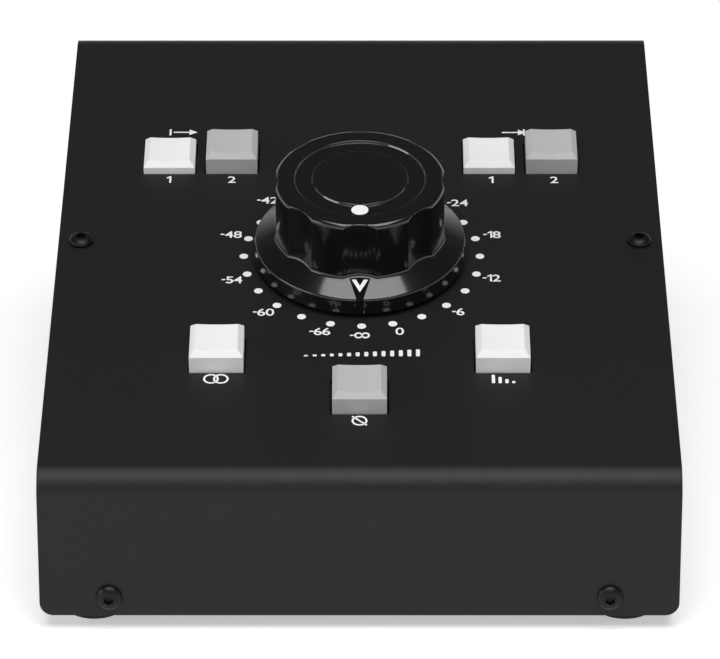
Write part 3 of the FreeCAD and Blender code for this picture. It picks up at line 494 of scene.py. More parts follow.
# Every finish of the part by the record's slot, and the print's, which no slot names.
PRINT: Finish = Finish("panel_print_white", tone(238, 238, 238), 0.5, 0.0, 0.3, 0.05, 3000.0, 0.006)
FINISHES: dict[str, Finish] = {
    "case_black": PowderCoat("case_powder_coat", tone(25, 25, 27), 0.45, 0.0, 0.24, 0.12, 1300.0, 0.03),
    "screw_black": BrightMetal("screw_black_oxide", tone(34, 34, 36), 0.38, 0.75, 0.5, 0.2, 1600.0, 0.01),
    "knob_black": KnobMoulding("knob_gloss_black", tone(8, 8, 9), 0.3, 0.0, 0.1, 0.1, 130.0, 0.05),
    "marker_white": Finish("marker_white", tone(242, 242, 240), 0.42, 0.0, 0.4, 0.03, 2400.0, 0.006),
    # The white caps emit their own colour as a painted glow, through their finish's emission.
    "cap_white": MilkyMouldingWithPaintedGlow("cap_white", tone(217, 216, 211), 0.40, 0.0, 0.4, 0.02, 2600.0, 0.008),
    "cap_grey": Finish("cap_grey", tone(189, 189, 193), 0.40, 0.0, 0.4, 0.03, 2600.0, 0.008),
    "foot_rubber": FootRubber("foot_rubber", tone(24, 24, 25), 0.85, 0.0, 0.3, 0.25, 1100.0, 0.12),
    "zinc_steel": BrightMetal("zinc_steel", tone(176, 178, 178), 0.36, 1.0, 0.5, 0.15, 900.0, 0.02),
    "spring_steel": BrightMetal("spring_steel", tone(150, 152, 156), 0.25, 1.0, 0.5, 0.1, 1500.0, 0.01),
    "insert_brass": BrightMetal("insert_brass", tone(206, 172, 96), 0.3, 1.0, 0.5, 0.12, 1200.0, 0.01),
    "contact_metal": BrightMetal("contact_silver", tone(214, 210, 200), 0.28, 1.0, 0.5, 0.1, 1500.0, 0.01),
    "cast_zinc": BrightMetal("cast_zinc", tone(142, 143, 146), 0.48, 1.0, 0.5, 0.2, 700.0, 0.05),
    "nickel_plate": BrightMetal("nickel_plate", tone(190, 188, 182), 0.27, 1.0, 0.5, 0.1, 1100.0, 0.01),
    "switch_plastic": Finish("switch_plastic", tone(30, 30, 33), 0.5, 0.0, 0.5, 0.15, 1500.0, 0.02),
    "stem_plastic": Finish("stem_plastic", tone(226, 224, 214), 0.45, 0.0, 0.5, 0.06, 1500.0, 0.02),
    "jack_plastic": Finish("jack_plastic", tone(26, 26, 28), 0.46, 0.0, 0.5, 0.15, 1500.0, 0.02),
    "resistor_body": Finish("resistor_body", tone(38, 40, 46), 0.5, 0.0, 0.5, 0.2, 2400.0, 0.02),
    "phenolic_board": FibreBoard("phenolic_board", tone(128, 84, 46), 0.55, 0.0, 0.4, 0.2, 900.0, 0.02),
    "circuit_board": FibreBoard("circuit_board", tone(24, 78, 46), 0.35, 0.0, 0.5, 0.2, 900.0, 0.02,
                                0.7, 260.0),
    "ribbon_grey": RibbonJacket("ribbon_grey", tone(152, 154, 158), 0.5),
}


# ---- shaping ----


def moved(bm: Shape, matrix: Matrix) -> Shape:
    """Moves a whole shape, and gives it back."""
    bmesh.ops.transform(bm, matrix=matrix, verts=bm.verts)
    return bm


def shift(x: float, y: float, z: float) -> Matrix:
    """A straight move."""
    return Matrix.Translation((x, y, z))


def turn_about(axis: str, degrees: float) -> Matrix:
    """A turn about an axis through the origin."""
    return Matrix.Rotation(math.radians(degrees), 4, axis)


def linked(name: str, data: bpy.types.ID) -> bpy.types.Object:
    """A new object in the scene, at the origin.

    Args:
        name: Its name.
        data: Its mesh, lamp or camera.

    Returns:
        The object.
    """
    made = bpy.data.objects.new(name, data)
    bpy.context.scene.collection.objects.link(made)
    return made


def evaluated(holder: bpy.types.Object) -> Shape:
    """The final shape of an object with its modifiers or text.

    Args:
        holder: The object.

    Returns:
        Its shape.
    """
    depsgraph = bpy.context.evaluated_depsgraph_get()
    mesh = bpy.data.meshes.new_from_object(holder.evaluated_get(depsgraph))
    bm = bmesh.new()
    bm.from_mesh(mesh)
    bpy.data.meshes.remove(mesh)
    return bm


def rounded(bm: Shape, geom: Sequence[Union[bmesh.types.BMVert, bmesh.types.BMEdge]], radius: float,
            segments: int, affect: str = "VERTICES", clamp: bool = False) -> None:
    """Rounds corners or edges.

    Args:
        bm: The shape that has them.
        geom: The corners or edges.
        radius: How far back the rounding starts.
        segments: Facets in each rounding.
        affect: VERTICES or EDGES.
        clamp: Whether roundings stop where they would meet.
    """
    bmesh.ops.bevel(bm, geom=geom, offset=radius, offset_type="OFFSET", segments=segments, profile=0.5,
                    material=-1, affect=affect, clamp_overlap=clamp)


def gathered(shapes: Iterable[Shape]) -> Shape:
    """Puts several shapes in one.

    Args:
        shapes: The shapes, which are used up.

    Returns:
        One shape with all their faces.
    """
    whole = bmesh.new()
    carrier = bpy.data.meshes.new("carrier")
    for shape in shapes:
        shape.to_mesh(carrier)
        shape.free()
        whole.from_mesh(carrier)
    bpy.data.meshes.remove(carrier)
    return whole


def copied(bm: Shape, places: Iterable[Matrix]) -> Shape:
    """Copies a shape to several places.

    Args:
        bm: The shape, which is used up.
        places: Where the copies go.

    Returns:
        One shape with all the copies.
    """
    copies = [moved(bm.copy(), place) for place in places]
    bm.free()
    return gathered(copies)


def lathe(corners: Sequence[Corner], steps: int = 96, closed: bool = True, arc: int = 4) -> Shape:
    """Spins a profile about Z.

    Args:
        corners: Radius, height and how far each corner is rounded back.
        steps: Facets round a full turn.
        closed: Whether the last corner joins the first.
        arc: Facets in each rounding.

    Returns:
        The turned shape.
    """
    bm = bmesh.new()
    verts = [bm.verts.new((radius, 0, height)) for radius, height, _ in corners]
    for before, after in zip(verts, verts[1:]):
        bm.edges.new((before, after))
    if closed:
        bm.edges.new((verts[-1], verts[0]))
    for vert, (_, _, rounding) in zip(verts, corners):
        if rounding:
            rounded(bm, [vert], rounding, arc)
    bmesh.ops.spin(bm, geom=bm.verts[:] + bm.edges[:], cent=(0, 0, 0), axis=(0, 0, 1),
                   dvec=(0, 0, 0), angle=FULL_TURN, steps=steps, use_merge=True, use_duplicate=False)
    return cleaned(bm)


def cleaned(bm: Shape) -> Shape:
    """Merges doubled points and turns the faces outwards.

    Args:
        bm: The mesh, which is changed.

    Returns:
        The same mesh.
    """
    bmesh.ops.remove_doubles(bm, verts=bm.verts, dist=1e-4)
    bmesh.ops.recalc_face_normals(bm, faces=bm.faces)
    return bm


def post(radius: float, bottom: float, top: float, sides: int = 48) -> Shape:
    """A round or many-sided post about Z.

    Args:
        radius: To the corners.
        bottom: Its lower level.
        top: Its upper level.
        sides: How many flats.

    Returns:
        The post.
    """
    bm = bmesh.new()
    bmesh.ops.create_cone(bm, cap_ends=True, cap_tris=False, segments=sides, radius1=radius,
                          radius2=radius, depth=top - bottom)
    return moved(bm, shift(0, 0, (top + bottom) / 2))


def brick(width: float, length: float, bottom: float, top: float, round_off: float = 0.0,
          segments: int = 4) -> Shape:
    """A block centred on Z, its upright edges rounded.

    Args:
        width: Along x.
        length: Along y.
        bottom: Its lower level.
        top: Its upper level.
        round_off: The radius of the upright edges.
        segments: Facets in each rounding.

    Returns:
        The block.
    """
    bm = bmesh.new()
    bmesh.ops.create_cube(bm, size=1.0)
    moved(bm, shift(0, 0, (top + bottom) / 2) @ Matrix.Diagonal((width, length, top - bottom, 1)))
    if round_off:
        upright = [edge for edge in bm.edges
                   if abs(edge.verts[0].co.z - edge.verts[1].co.z) > (top - bottom) / 2]
        rounded(bm, upright, round_off, segments, "EDGES")
    return bm


def combined(base: Shape, tool: Shape, cut: Cut) -> Shape:
    """Cuts one shape away from another, or keeps what they share.

    Args:
        base: The shape that is changed, which is used up.
        tool: The shape that changes it, which is used up.
        cut: What is done.

    Returns:
        The result.
    """
    holders = []
    for name, shape in (("cut_base", base), ("cut_tool", tool)):
        mesh = bpy.data.meshes.new(name)
        shape.to_mesh(mesh)
        shape.free()
        holders.append(linked(name, mesh))
    modifier = holders[0].modifiers.new("cut", "BOOLEAN")
    modifier.operation = cut.value
    modifier.object = holders[1]
    modifier.solver = "EXACT"
    result = evaluated(holders[0])
    for holder in holders:
        used = holder.data
        bpy.data.objects.remove(holder)
        bpy.data.meshes.remove(used)
    return result


def publish(bm: Shape, name: str, slot: str, replaces: Sequence[str] = (), body: str = Body.CASE.value,
            edge: float = 0.0, crease: float = 32.0, finish: Union[Finish, None] = None) -> None:
    """Makes a finished piece of a shape that stands in its place in the frame.

    Args:
        bm: The shape in metres, which is used up.
        name: The piece's name.
        slot: The record's material slot.
        replaces: The nodes that it stands for.
        body: The body that it rides on.
        edge: How far its creases are softened, in millimetres.
        crease: The angle from which an edge is a crease, in degrees.
        finish: Its finish, where it isn't the slot's own.
    """
    limit = math.radians(crease)
    for face in bm.faces:
        face.smooth = True
    for border in bm.edges:
        border.smooth = len(border.link_faces) == 2 and border.calc_face_angle(0.0) < limit
    mesh = bpy.data.meshes.new(name)
    bm.to_mesh(mesh)
    bm.free()
    piece = linked(name, mesh)
    mesh.materials.append((finish or FINISHES[slot]).material())
    if edge:
        bevel = piece.modifiers.new("soft_edges", "BEVEL")
        bevel.width = edge * MM
        bevel.segments = 3
        bevel.limit_method = "ANGLE"
        bevel.angle_limit = limit
        bevel.harden_normals = False
    weighted = piece.modifiers.new("flat_faces", "WEIGHTED_NORMAL")
    weighted.keep_sharp = True
    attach(piece, body)
    if replaces:
        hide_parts(*replaces)
    log.info("%s: %d faces on %s", name, len(mesh.polygons), body)


# ---- sub-assemblies ----


@dataclass
class Case:
    """The folded cover, the tray, their screws and the feet."""

    width: float = 140.0
    front_y: float = -88.775
    rear_y: float = 86.825
    floor: float = 3.5
    front_height: float = 36.45
    slope: float = 14.0
    sheet: float = 1.5
    bend: float = 6.5
    corner_round: float = 3.0
    cap_opening: float = 12.9
    opening_round: float = 0.5
    screw_hole: float = 1.7
    jack_hole: float = 4.9
    bushing_hole: float = 5.2
    head_radius: float = 2.85
    head_height: float = 1.65
    head_rim: float = 0.7
    head_flat: float = 1.35
    head_shoulder: Point = (2.2, 1.35)
    socket_flats: float = 2.0
    socket_depth: float = 1.05
    shank_radius: float = 1.45
    shank_length: float = 6.0
    foot_radius: float = 6.6
    foot_inset: float = 11.5
    foot_ring: float = 2.2
    foot_dish: float = 0.6
    top_screw: Point = (64.7, 88.7)
    end_screw: Point = (54.75, 7.95)
    jack_columns: tuple[float, ...] = (-45.0, -15.0, 15.0, 45.0)
    jack_levels: tuple[float, float] = (27.0, 52.0)
    dial_v: float = 82.9

    @property
    def panel(self) -> Matrix:
        """Panel axes to the frame's, in millimetres."""
        return shift(0, self.front_y, self.front_height) @ turn_about("X", self.slope)

    def on_panel(self, x: float, v: float, w: float = 0.0) -> Matrix:
        """A place on the panel, in millimetres."""
        return self.panel @ shift(x, v, w)

    def on_rear(self, x: float, z: float) -> Matrix:
        """A place on the rear wall, Z pointing out of it."""
        return shift(x, self.rear_y, z) @ turn_about("X", -90)

    def on_front(self, x: float, z: float) -> Matrix:
        """A place on the front wall, Z pointing out of it."""
        return shift(x, self.front_y, z) @ turn_about("X", 90)

    def screw_places(self) -> list[Matrix]:
        """Where the six case screws seat.

        Returns:
            One matrix for each screw, in millimetres.
        """
        places = []
        for side in (-1, 1):
            places.append(self.on_panel(side * self.top_screw[0], self.top_screw[1]))
            places.append(self.on_front(side * self.end_screw[0], self.end_screw[1]))
            places.append(self.on_rear(side * self.end_screw[0], self.end_screw[1]))
        return places

    def jack_places(self, level: float) -> list[Matrix]:
        """Where one row of jacks comes through the rear wall."""
        return [self.on_rear(x, level) for x in self.jack_columns]

    def build_cover(self, buttons: Sequence[Button]) -> None:
        """Front, sloping top and back in one folded sheet with all its holes.

        Args:
            buttons: The push buttons that come through it.
        """
        slope = math.radians(self.slope)
        rear_height = self.front_height + (self.rear_y - self.front_y) * math.tan(slope)
        bm = bmesh.new()
        line = [bm.verts.new((-self.width / 2, y, z)) for y, z in (
            (self.front_y, self.floor), (self.front_y, self.front_height),
            (self.rear_y, rear_height), (self.rear_y, self.floor))]
        for before, after in zip(line, line[1:]):
            bm.edges.new((before, after))
        for vert, inner_angle in ((line[1], math.pi / 2 + slope), (line[2], math.pi / 2 - slope)):
            rounded(bm, [vert], self.bend / math.tan(inner_angle / 2), 20)
        swept = bmesh.ops.extrude_edge_only(bm, edges=bm.edges[:])
        far = [item for item in swept["geom"] if isinstance(item, bmesh.types.BMVert)]
        bmesh.ops.translate(bm, vec=(self.width, 0, 0), verts=far)
        low = [vert for vert in bm.verts if vert.co.z < self.floor + 0.01]
        rounded(bm, low, self.corner_round, 8)
        bmesh.ops.recalc_face_normals(bm, faces=bm.faces)
        middle = min(bm.faces, key=lambda face: abs(face.calc_center_median().y))
        if middle.normal.z < 0:
            bmesh.ops.reverse_faces(bm, faces=bm.faces)
        bmesh.ops.solidify(bm, geom=bm.faces[:], thickness=self.sheet)
        bmesh.ops.recalc_face_normals(bm, faces=bm.faces)
        cover = combined(bm, self._hole_tools(buttons), Cut.TAKE)
        publish(moved(cleaned(cover), METRES), "folded_cover", "case_black", ["top_cover"], edge=0.22)

    def _hole_tools(self, buttons: Sequence[Button]) -> Shape:
        """Every hole in the cover as one tool.

        Args:
            buttons: The push buttons that come through it.

        Returns:
            The tool.
        """
        depth = 2 * self.sheet
        tools = [copied(brick(self.cap_opening, self.cap_opening, -depth, depth, self.opening_round),
                        [self.on_panel(button.x, button.v) for button in buttons]),
                 copied(post(self.screw_hole, -depth, depth, 32), self.screw_places()),
                 copied(post(self.jack_hole, -depth, depth, 64),
                        [place for level in self.jack_levels for place in self.jack_places(level)]),
                 moved(post(self.bushing_hole, -depth, depth, 48), self.on_panel(0, self.dial_v))]
        return gathered(tools)

    def build_tray(self) -> None:
        """The tray, from its solid, with softened folds."""
        bm = bmesh.new()
        bm.from_mesh(frame["nodes"]["base_tray"].data)
        bmesh.ops.remove_doubles(bm, verts=bm.verts, dist=1e-7)
        bmesh.ops.dissolve_limit(bm, angle_limit=math.radians(0.6), verts=bm.verts, edges=bm.edges)
        publish(bm, "bent_tray", "case_black", ["base_tray"], edge=0.12, crease=40.0)

    def build_screws(self) -> None:
        """Button-head screws with hexagon sockets."""
        dome = [(0.0, self.head_height, 0.0), (self.head_flat, self.head_height, 0.3),
                (*self.head_shoulder, 0.35), (self.head_radius, self.head_rim, 0.15),
                (self.head_radius, 0.0, 0.12), (self.shank_radius, 0.0, 0.0),
                (self.shank_radius, -self.shank_length, 0.3), (0.0, -self.shank_length, 0.0)]
        head = lathe(dome, 48, closed=False)
        socket = post(self.socket_flats / math.sqrt(3), self.head_height - self.socket_depth,
                      2 * self.head_height, 6)
        screw = combined(head, socket, Cut.TAKE)
        publish(moved(copied(cleaned(screw), self.screw_places()), METRES), "button_head_screws",
                "screw_black", ["case_screws"], edge=0.06)

    def build_feet(self) -> None:
        """Round rubber feet with a dished underside."""
        inner = self.foot_radius - self.foot_ring
        profile = [(0.0, self.floor, 0.0), (self.foot_radius, self.floor, 0.25),
                   (self.foot_radius, 0.0, 0.8), (inner, 0.0, 0.3),
                   (inner - self.foot_dish, self.foot_dish, 0.3), (0.0, self.foot_dish, 0.0)]
        reach = self.width / 2 - self.foot_inset
        places = [shift(side * reach, y, 0) for side in (-1, 1)
                  for y in (self.front_y + self.foot_inset, self.rear_y - self.foot_inset)]
        publish(moved(copied(lathe(profile, 64, closed=False), places), METRES), "stick_on_feet",
                "foot_rubber", ["rubber_feet"])


@dataclass
class LevelKnob:
    """The fluted knob on its skirt, with the pointer, the chevron and the dot."""

    case: Case
    lift: float = 1.2
    skirt_radius: float = 24.5
    rim_top: float = 4.95
    rim_draft: float = 0.22
    cone_slope: float = 0.55
    grip: float = 19.65
    top: float = 21.97
    top_round: float = 1.25
    foot_round: float = 0.55
    flutes: int = 8
    flute_radius: float = 14.0
    flute_depth: float = 0.9
    flute_edge: float = 0.3
    ridge_round: float = 0.5
    ring_inner: float = 10.8
    ring_outer: float = 15.05
    ring_depth: float = 0.5
    ring_wall: float = 0.3
    dot_place: float = 12.95
    dot_radius: float = 1.95
    dot_wall: float = 0.35
    dot_sunk: float = 0.5
    dot_rise: float = 0.03
    inside: float = 15.9
    roof: float = 19.4
    under_skirt: float = 2.75
    rim_inside: float = 22.7
    boss: float = 6.5
    boss_bottom: float = 4.6
    insert_radius: float = 5.25
    insert_top: float = 15.6
    ribs: int = 6
    rib_thickness: float = 1.4
    rib_bottom: float = 9.8
    screw_level: float = 11.0
    screw_hole: float = 1.95
    tunnel_wall: float = 1.45
    tunnel_lap: float = 0.6
    lap: float = 1.2
    pointer_foot: float = 5.3
    pointer_tip: float = 1.3
    pointer_depth: float = 0.4
    pointer_gap: float = 0.45
    pointer_edge: float = 0.14
    chevron_width: float = 3.75
    chevron_length: float = 2.8
    chevron_stroke: float = 0.8
    chevron_inset: float = 0.3
    chevron_sunk: float = 0.4
    chevron_rise: float = 0.05

    @property
    def place(self) -> Matrix:
        """The knob's axis in the frame, in metres."""
        return METRES @ self.case.on_panel(0, self.case.dial_v)

    def cone_height(self, radius: float) -> float:
        """The height of the skirt's cone at a radius."""
        return self.rim_top + (self.skirt_radius - radius) * self.cone_slope

    def grip_radius(self, turn: float) -> float:
        """The fluted outline's radius at an angle.

        Args:
            turn: The angle about the axis, in radians.

        Returns:
            The radius.
        """
        pitch = FULL_TURN / self.flutes
        apart = abs((turn + math.pi / 2 + pitch / 2) % pitch - pitch / 2)
        axis = self.grip - self.flute_depth + self.flute_radius
        inner = self.grip - self.ridge_round
        outer = self.flute_radius + self.ridge_round
        crest = math.acos((inner ** 2 + axis ** 2 - outer ** 2) / (2 * inner * axis))
        if apart >= crest:
            return self.grip
        in_flute = Vector((axis, 0)) + (Vector((inner * math.cos(crest), inner * math.sin(crest)))
                                        - Vector((axis, 0))).normalized() * self.flute_radius
        if apart > math.atan2(in_flute.y, in_flute.x):
            aside = inner * math.sin(crest - apart)
            return inner * math.cos(crest - apart) + math.sqrt(max(0.0, self.ridge_round ** 2 - aside ** 2))
        return axis * math.cos(apart) - math.sqrt(self.flute_radius ** 2 - (axis * math.sin(apart)) ** 2)

    def _softer_of(self, turned: float, fluted: float) -> float:
        """The lesser of two radii, with the edge between them softened.

        Args:
            turned: The radius of the turned outline.
            fluted: The radius of the fluted outline.

        Returns:
            The radius where both cut.
        """
        reach = min(self.flute_edge, self.grip - fluted)
        overlap = max(0.0, reach - abs(turned - fluted))
        return min(turned, fluted) - (overlap ** 2 / reach / 4 if overlap else 0.0)

    def _grip_shell(self) -> Shape:
        """The hollow fluted body with the sunk ring in its top and a fillet at its foot.

        Returns:
            The mesh, in millimetres.
        """
        foot = self.rim_top + 0.5
        ring_floor = self.top - self.ring_depth
        outside = self.grip + self.foot_round
        bm = lathe([
            (0.0, self.top, 0.0), (self.ring_inner, self.top, 0.12),
            (self.ring_inner + self.ring_wall, ring_floor, 0.1),
            (self.ring_outer - self.ring_wall, ring_floor, 0.1), (self.ring_outer, self.top, 0.12),
            (self.grip, self.top, self.top_round), (self.grip, self.cone_height(self.grip), self.foot_round),
            (outside, self.cone_height(outside) - 0.01, 0.0), (outside, foot, 0.0),
            (self.inside, foot, 0.0), (self.inside, self.roof, 0.6), (self.boss, self.roof, 0.4),
            (self.boss, self.boss_bottom, 0.2), (self.insert_radius, self.boss_bottom, 0.0),
            (self.insert_radius, self.insert_top, 0.0), (0.0, self.insert_top, 0.0)], 480, False, 8)
        for vert in bm.verts:
            radius = math.hypot(vert.co.x, vert.co.y)
            if radius < self.grip - self.top_round - 0.01:
                continue
            wanted = self.grip_radius(math.atan2(vert.co.y, vert.co.x))
            if vert.co.z < self.top / 2:
                vert.co.z += (self.grip - wanted) * self.cone_slope
                wanted += radius - self.grip
            else:
                wanted = self._softer_of(radius, wanted)
            vert.co.x *= wanted / radius
            vert.co.y *= wanted / radius
        cleaned(bm)
        drill = moved(post(self.screw_hole, 0, 2 * self.grip, 40), self._toward_rear())
        return combined(bm, drill, Cut.TAKE)

    def _toward_rear(self) -> Matrix:
        """Lays Z along the set screw's line."""
        return shift(0, 0, self.screw_level) @ turn_about("X", -90)

    def _skirt(self) -> Shape:
        """The skirt's rim and cone with the sunk pointer, open underneath.

        Returns:
            The mesh, in millimetres.
        """
        inner = self.inside + self.lap
        skirt = lathe([
            (self.rim_inside, self.lift, 0.15), (self.skirt_radius, self.lift, 0.25),
            (self.skirt_radius - self.rim_draft, self.rim_top, 0.4), (inner, self.cone_height(inner), 0.0),
            (self.inside, self.cone_height(inner), 0.0), (self.inside, self.under_skirt, 0.3),
            (self.rim_inside, self.under_skirt, 0.3)], 240)
        skirt = cleaned(combined(skirt, self._pointer_recess(), Cut.TAKE))
        lips = [edge for edge in skirt.edges if edge.calc_face_angle(0.0) > 0.7 and all(
            abs(vert.co.x) < self.pointer_foot / 2 and vert.co.y < 0.3 - self.grip
            and vert.co.z > self.cone_height(math.hypot(vert.co.x, vert.co.y)) - 0.05 for vert in edge.verts)]
        rounded(skirt, lips, self.pointer_edge, 3, "EDGES", True)
        return skirt

    def _cone_layer(self, below: float, above: float) -> Shape:
        """The ring-shaped room between two surfaces at their rises over the cone."""
        inner, outer = self.grip - self.flute_depth - 1.0, self.skirt_radius + 0.6
        return lathe([(radius, self.cone_height(radius) + rise, 0.0) for radius, rise in (
            (inner, below), (outer, below), (outer, above), (inner, above))], 240)

    def _pointer_recess(self) -> Shape:
        """The tool that sinks the pointer: a wedge in plan, its inner end curved round the flute.

        Returns:
            The mesh, in millimetres.
        """
        hub = self.grip - self.flute_depth
        reach = self.skirt_radius + 0.4
        narrowing = (self.pointer_foot - self.pointer_tip) / (self.skirt_radius - hub)
        wedge = bmesh.new()
        bmesh.ops.create_cube(wedge, size=1.0)
        for vert in wedge.verts:
            radius = reach if vert.co.y < 0 else hub
            width = self.pointer_foot - (radius - hub) * narrowing
            vert.co = (vert.co.x * width, -radius, self.top / 2 + vert.co.z * self.top)
        flute = moved(post(self.flute_radius - self.pointer_gap, -1.0, self.top + 1.0, 240),
                      shift(0, -hub - self.flute_radius, 0))
        layer = self._cone_layer(-self.pointer_depth, 3.0)
        return combined(combined(wedge, flute, Cut.KEEP), layer, Cut.KEEP)

    def _dot_seat(self) -> Shape:
        """The post left standing in the ring for the dot.

        Returns:
            The mesh, in millimetres.
        """
        radius = self.dot_radius + self.dot_wall
        floor = self.top - self.ring_depth - 0.2
        seat = lathe([(0.0, floor, 0.0), (radius, floor, 0.0), (radius, self.top - 0.004, 0.1),
                      (0.0, self.top - 0.004, 0.0)], 64, closed=False)
        return moved(seat, shift(0, -self.dot_place, 0))

    def _screw_tunnel(self) -> Shape:
        """The boss that the set screw passes through.

        Returns:
            The mesh, in millimetres.
        """
        start, reach = self.boss - self.tunnel_lap, self.grip - self.flute_depth - self.tunnel_lap
        outer = self.screw_hole + self.tunnel_wall
        tunnel = lathe([(self.screw_hole, start, 0.0), (outer, start, 0.0), (outer, reach, 0.0),
                        (self.screw_hole, reach, 0.0)], 40)
        return moved(tunnel, self._toward_rear())

    def _ribs(self) -> Shape:
        """The ribs from the boss to the body.

        Returns:
            The mesh, in millimetres.
        """
        rib = brick(self.inside - self.boss + self.lap, self.rib_thickness, self.rib_bottom, self.roof + 0.3)
        rib = moved(rib, shift((self.inside + self.boss) / 2, 0, 0))
        return copied(rib, [Matrix.Rotation((k + 0.5) * FULL_TURN / self.ribs, 4, "Z")
                            for k in range(self.ribs)])

    def _chevron(self) -> Shape:
        """The pointer's V, just proud of the pointer's floor.

        Returns:
            The mesh, in millimetres.
        """
        start = self.grip - self.flute_depth + self.pointer_gap + self.chevron_inset
        tip = start + self.chevron_length
        half = self.chevron_width / 2
        heading = math.atan2(self.chevron_length, half)
        across = self.chevron_stroke / math.sin(heading)
        along = self.chevron_stroke / math.cos(heading)
        bm = bmesh.new()
        bm.faces.new([bm.verts.new((x, -y, 0)) for x, y in (
            (-half, start), (0, tip), (half, start), (half - across, start), (0, tip - along),
            (across - half, start))])
        pulled = bmesh.ops.extrude_face_region(bm, geom=bm.faces[:])
        upper = [item for item in pulled["geom"] if isinstance(item, bmesh.types.BMVert)]
        bmesh.ops.translate(bm, vec=(0, 0, self.top), verts=upper)
        bmesh.ops.recalc_face_normals(bm, faces=bm.faces)
        layer = self._cone_layer(-self.pointer_depth - self.chevron_sunk,
                                 self.chevron_rise - self.pointer_depth)
        return cleaned(combined(bm, layer, Cut.KEEP))

    def build(self) -> None:
        """The moulding, then its two white inlays."""
        moulding = gathered([self._grip_shell(), self._skirt(), self._dot_seat(), self._screw_tunnel(),
                             self._ribs()])
        publish(moved(moulding, self.place), "fluted_knob", "knob_black", ["knob"], Body.KNOB.value,
                crease=28.0)
        low, high = self.top - self.dot_sunk, self.top + self.dot_rise
        dot = lathe([(0.0, low, 0.0), (self.dot_radius, low, 0.0), (self.dot_radius, high, 0.08),
                     (0.0, high, 0.0)], 64, closed=False)
        publish(moved(self._chevron(), self.place), "white_chevron", "marker_white", ["pointer_chevron"],
                Body.KNOB.value, 0.03)
        place = self.place @ shift(0, -self.dot_place, 0)
        publish(moved(dot, place), "white_dot", "marker_white", ["index_dot"], Body.KNOB.value)


class CapColour(Enum):
    """The two colours of caps."""

    WHITE = "cap_white"
    GREY = "cap_grey"


@dataclass
class Button:
    """A square push button with a scooped cap."""

    name: str
    x: float
    v: float
    drop: float
    colour: CapColour
    size: float = 12.1
    wall_top: float = 3.85
    bevel_run: float = 1.3
    bevel_rise: float = 1.45
    skirt: float = 2.5
    edge_round: float = 0.3
    wall: float = 1.2
    roof: float = 3.3
    dish_radius: float = 24.0
    hub: float = 6.6
    hub_round: float = 0.3
    hub_lap: float = 0.2
    columns: int = 24

    def dip(self, x: float) -> float:
        """How deep the scoop lies below the rim."""
        half = self.size / 2 - self.bevel_run
        return (math.sqrt(self.dish_radius ** 2 - min(abs(x), half) ** 2)
                - math.sqrt(self.dish_radius ** 2 - half ** 2))

    def _shell(self) -> Shape:
        """The cap's outside, open underneath.

        Returns:
            The mesh, in millimetres.
        """
        bm = brick(self.size, self.size, -self.skirt, self.wall_top)
        roof = max(bm.faces, key=lambda face: face.calc_center_median().z)
        bmesh.ops.inset_region(bm, faces=[roof], thickness=self.bevel_run, use_even_offset=True)
        bmesh.ops.translate(bm, vec=(0, 0, self.bevel_rise), verts=roof.verts)
        half = self.size / 2 - self.bevel_run
        for k in range(1, self.columns):
            place = (-half + 2 * half * k / self.columns, 0, 0)
            near = [face for face in bm.faces if face.calc_center_median().z > self.wall_top]
            edges = {edge for face in near for edge in face.edges}
            verts = {vert for face in near for vert in face.verts}
            bmesh.ops.bisect_plane(bm, geom=[*verts, *edges, *near], plane_co=place, plane_no=(1, 0, 0),
                                   dist=1e-5)
        top = self.wall_top + self.bevel_rise
        for vert in bm.verts:
            if vert.co.z > top - 0.01:
                depth = self.dip(vert.co.x)
                if abs(vert.co.y) > half - 0.4:
                    vert.co.y += math.copysign(depth * self.bevel_run / self.bevel_rise, vert.co.y)
                vert.co.z -= depth
        floor = min(bm.faces, key=lambda face: face.calc_center_median().z)
        bmesh.ops.delete(bm, geom=[floor], context="FACES_ONLY")
        return bm

    def build(self, case: Case) -> None:
        """The cap with its hollow and the hub for the stem.

        Args:
            case: The case that it comes out of.
        """
        cap = self._shell()
        room = brick(self.size - 2 * self.wall, self.size - 2 * self.wall, -self.skirt, self.roof)
        ceiling = min(room.faces, key=lambda face: face.calc_center_median().z)
        bmesh.ops.delete(room, geom=[ceiling], context="FACES_ONLY")
        bmesh.ops.reverse_faces(room, faces=room.faces)
        whole = gathered([cap, room])
        rims = [edge for edge in whole.edges if edge.is_boundary]
        bmesh.ops.bridge_loops(whole, edges=rims)
        bmesh.ops.recalc_face_normals(whole, faces=whole.faces)
        hub = brick(self.hub, self.hub, 0.0, self.roof + self.hub_lap, self.hub_round)
        whole = gathered([whole, hub])
        place = METRES @ case.on_panel(self.x, self.v, -self.drop)
        publish(moved(whole, place), f"{self.name}_keycap", self.colour.value, [f"{self.name}_cap"],
                f"{self.name}_button", self.edge_round, 20.0)


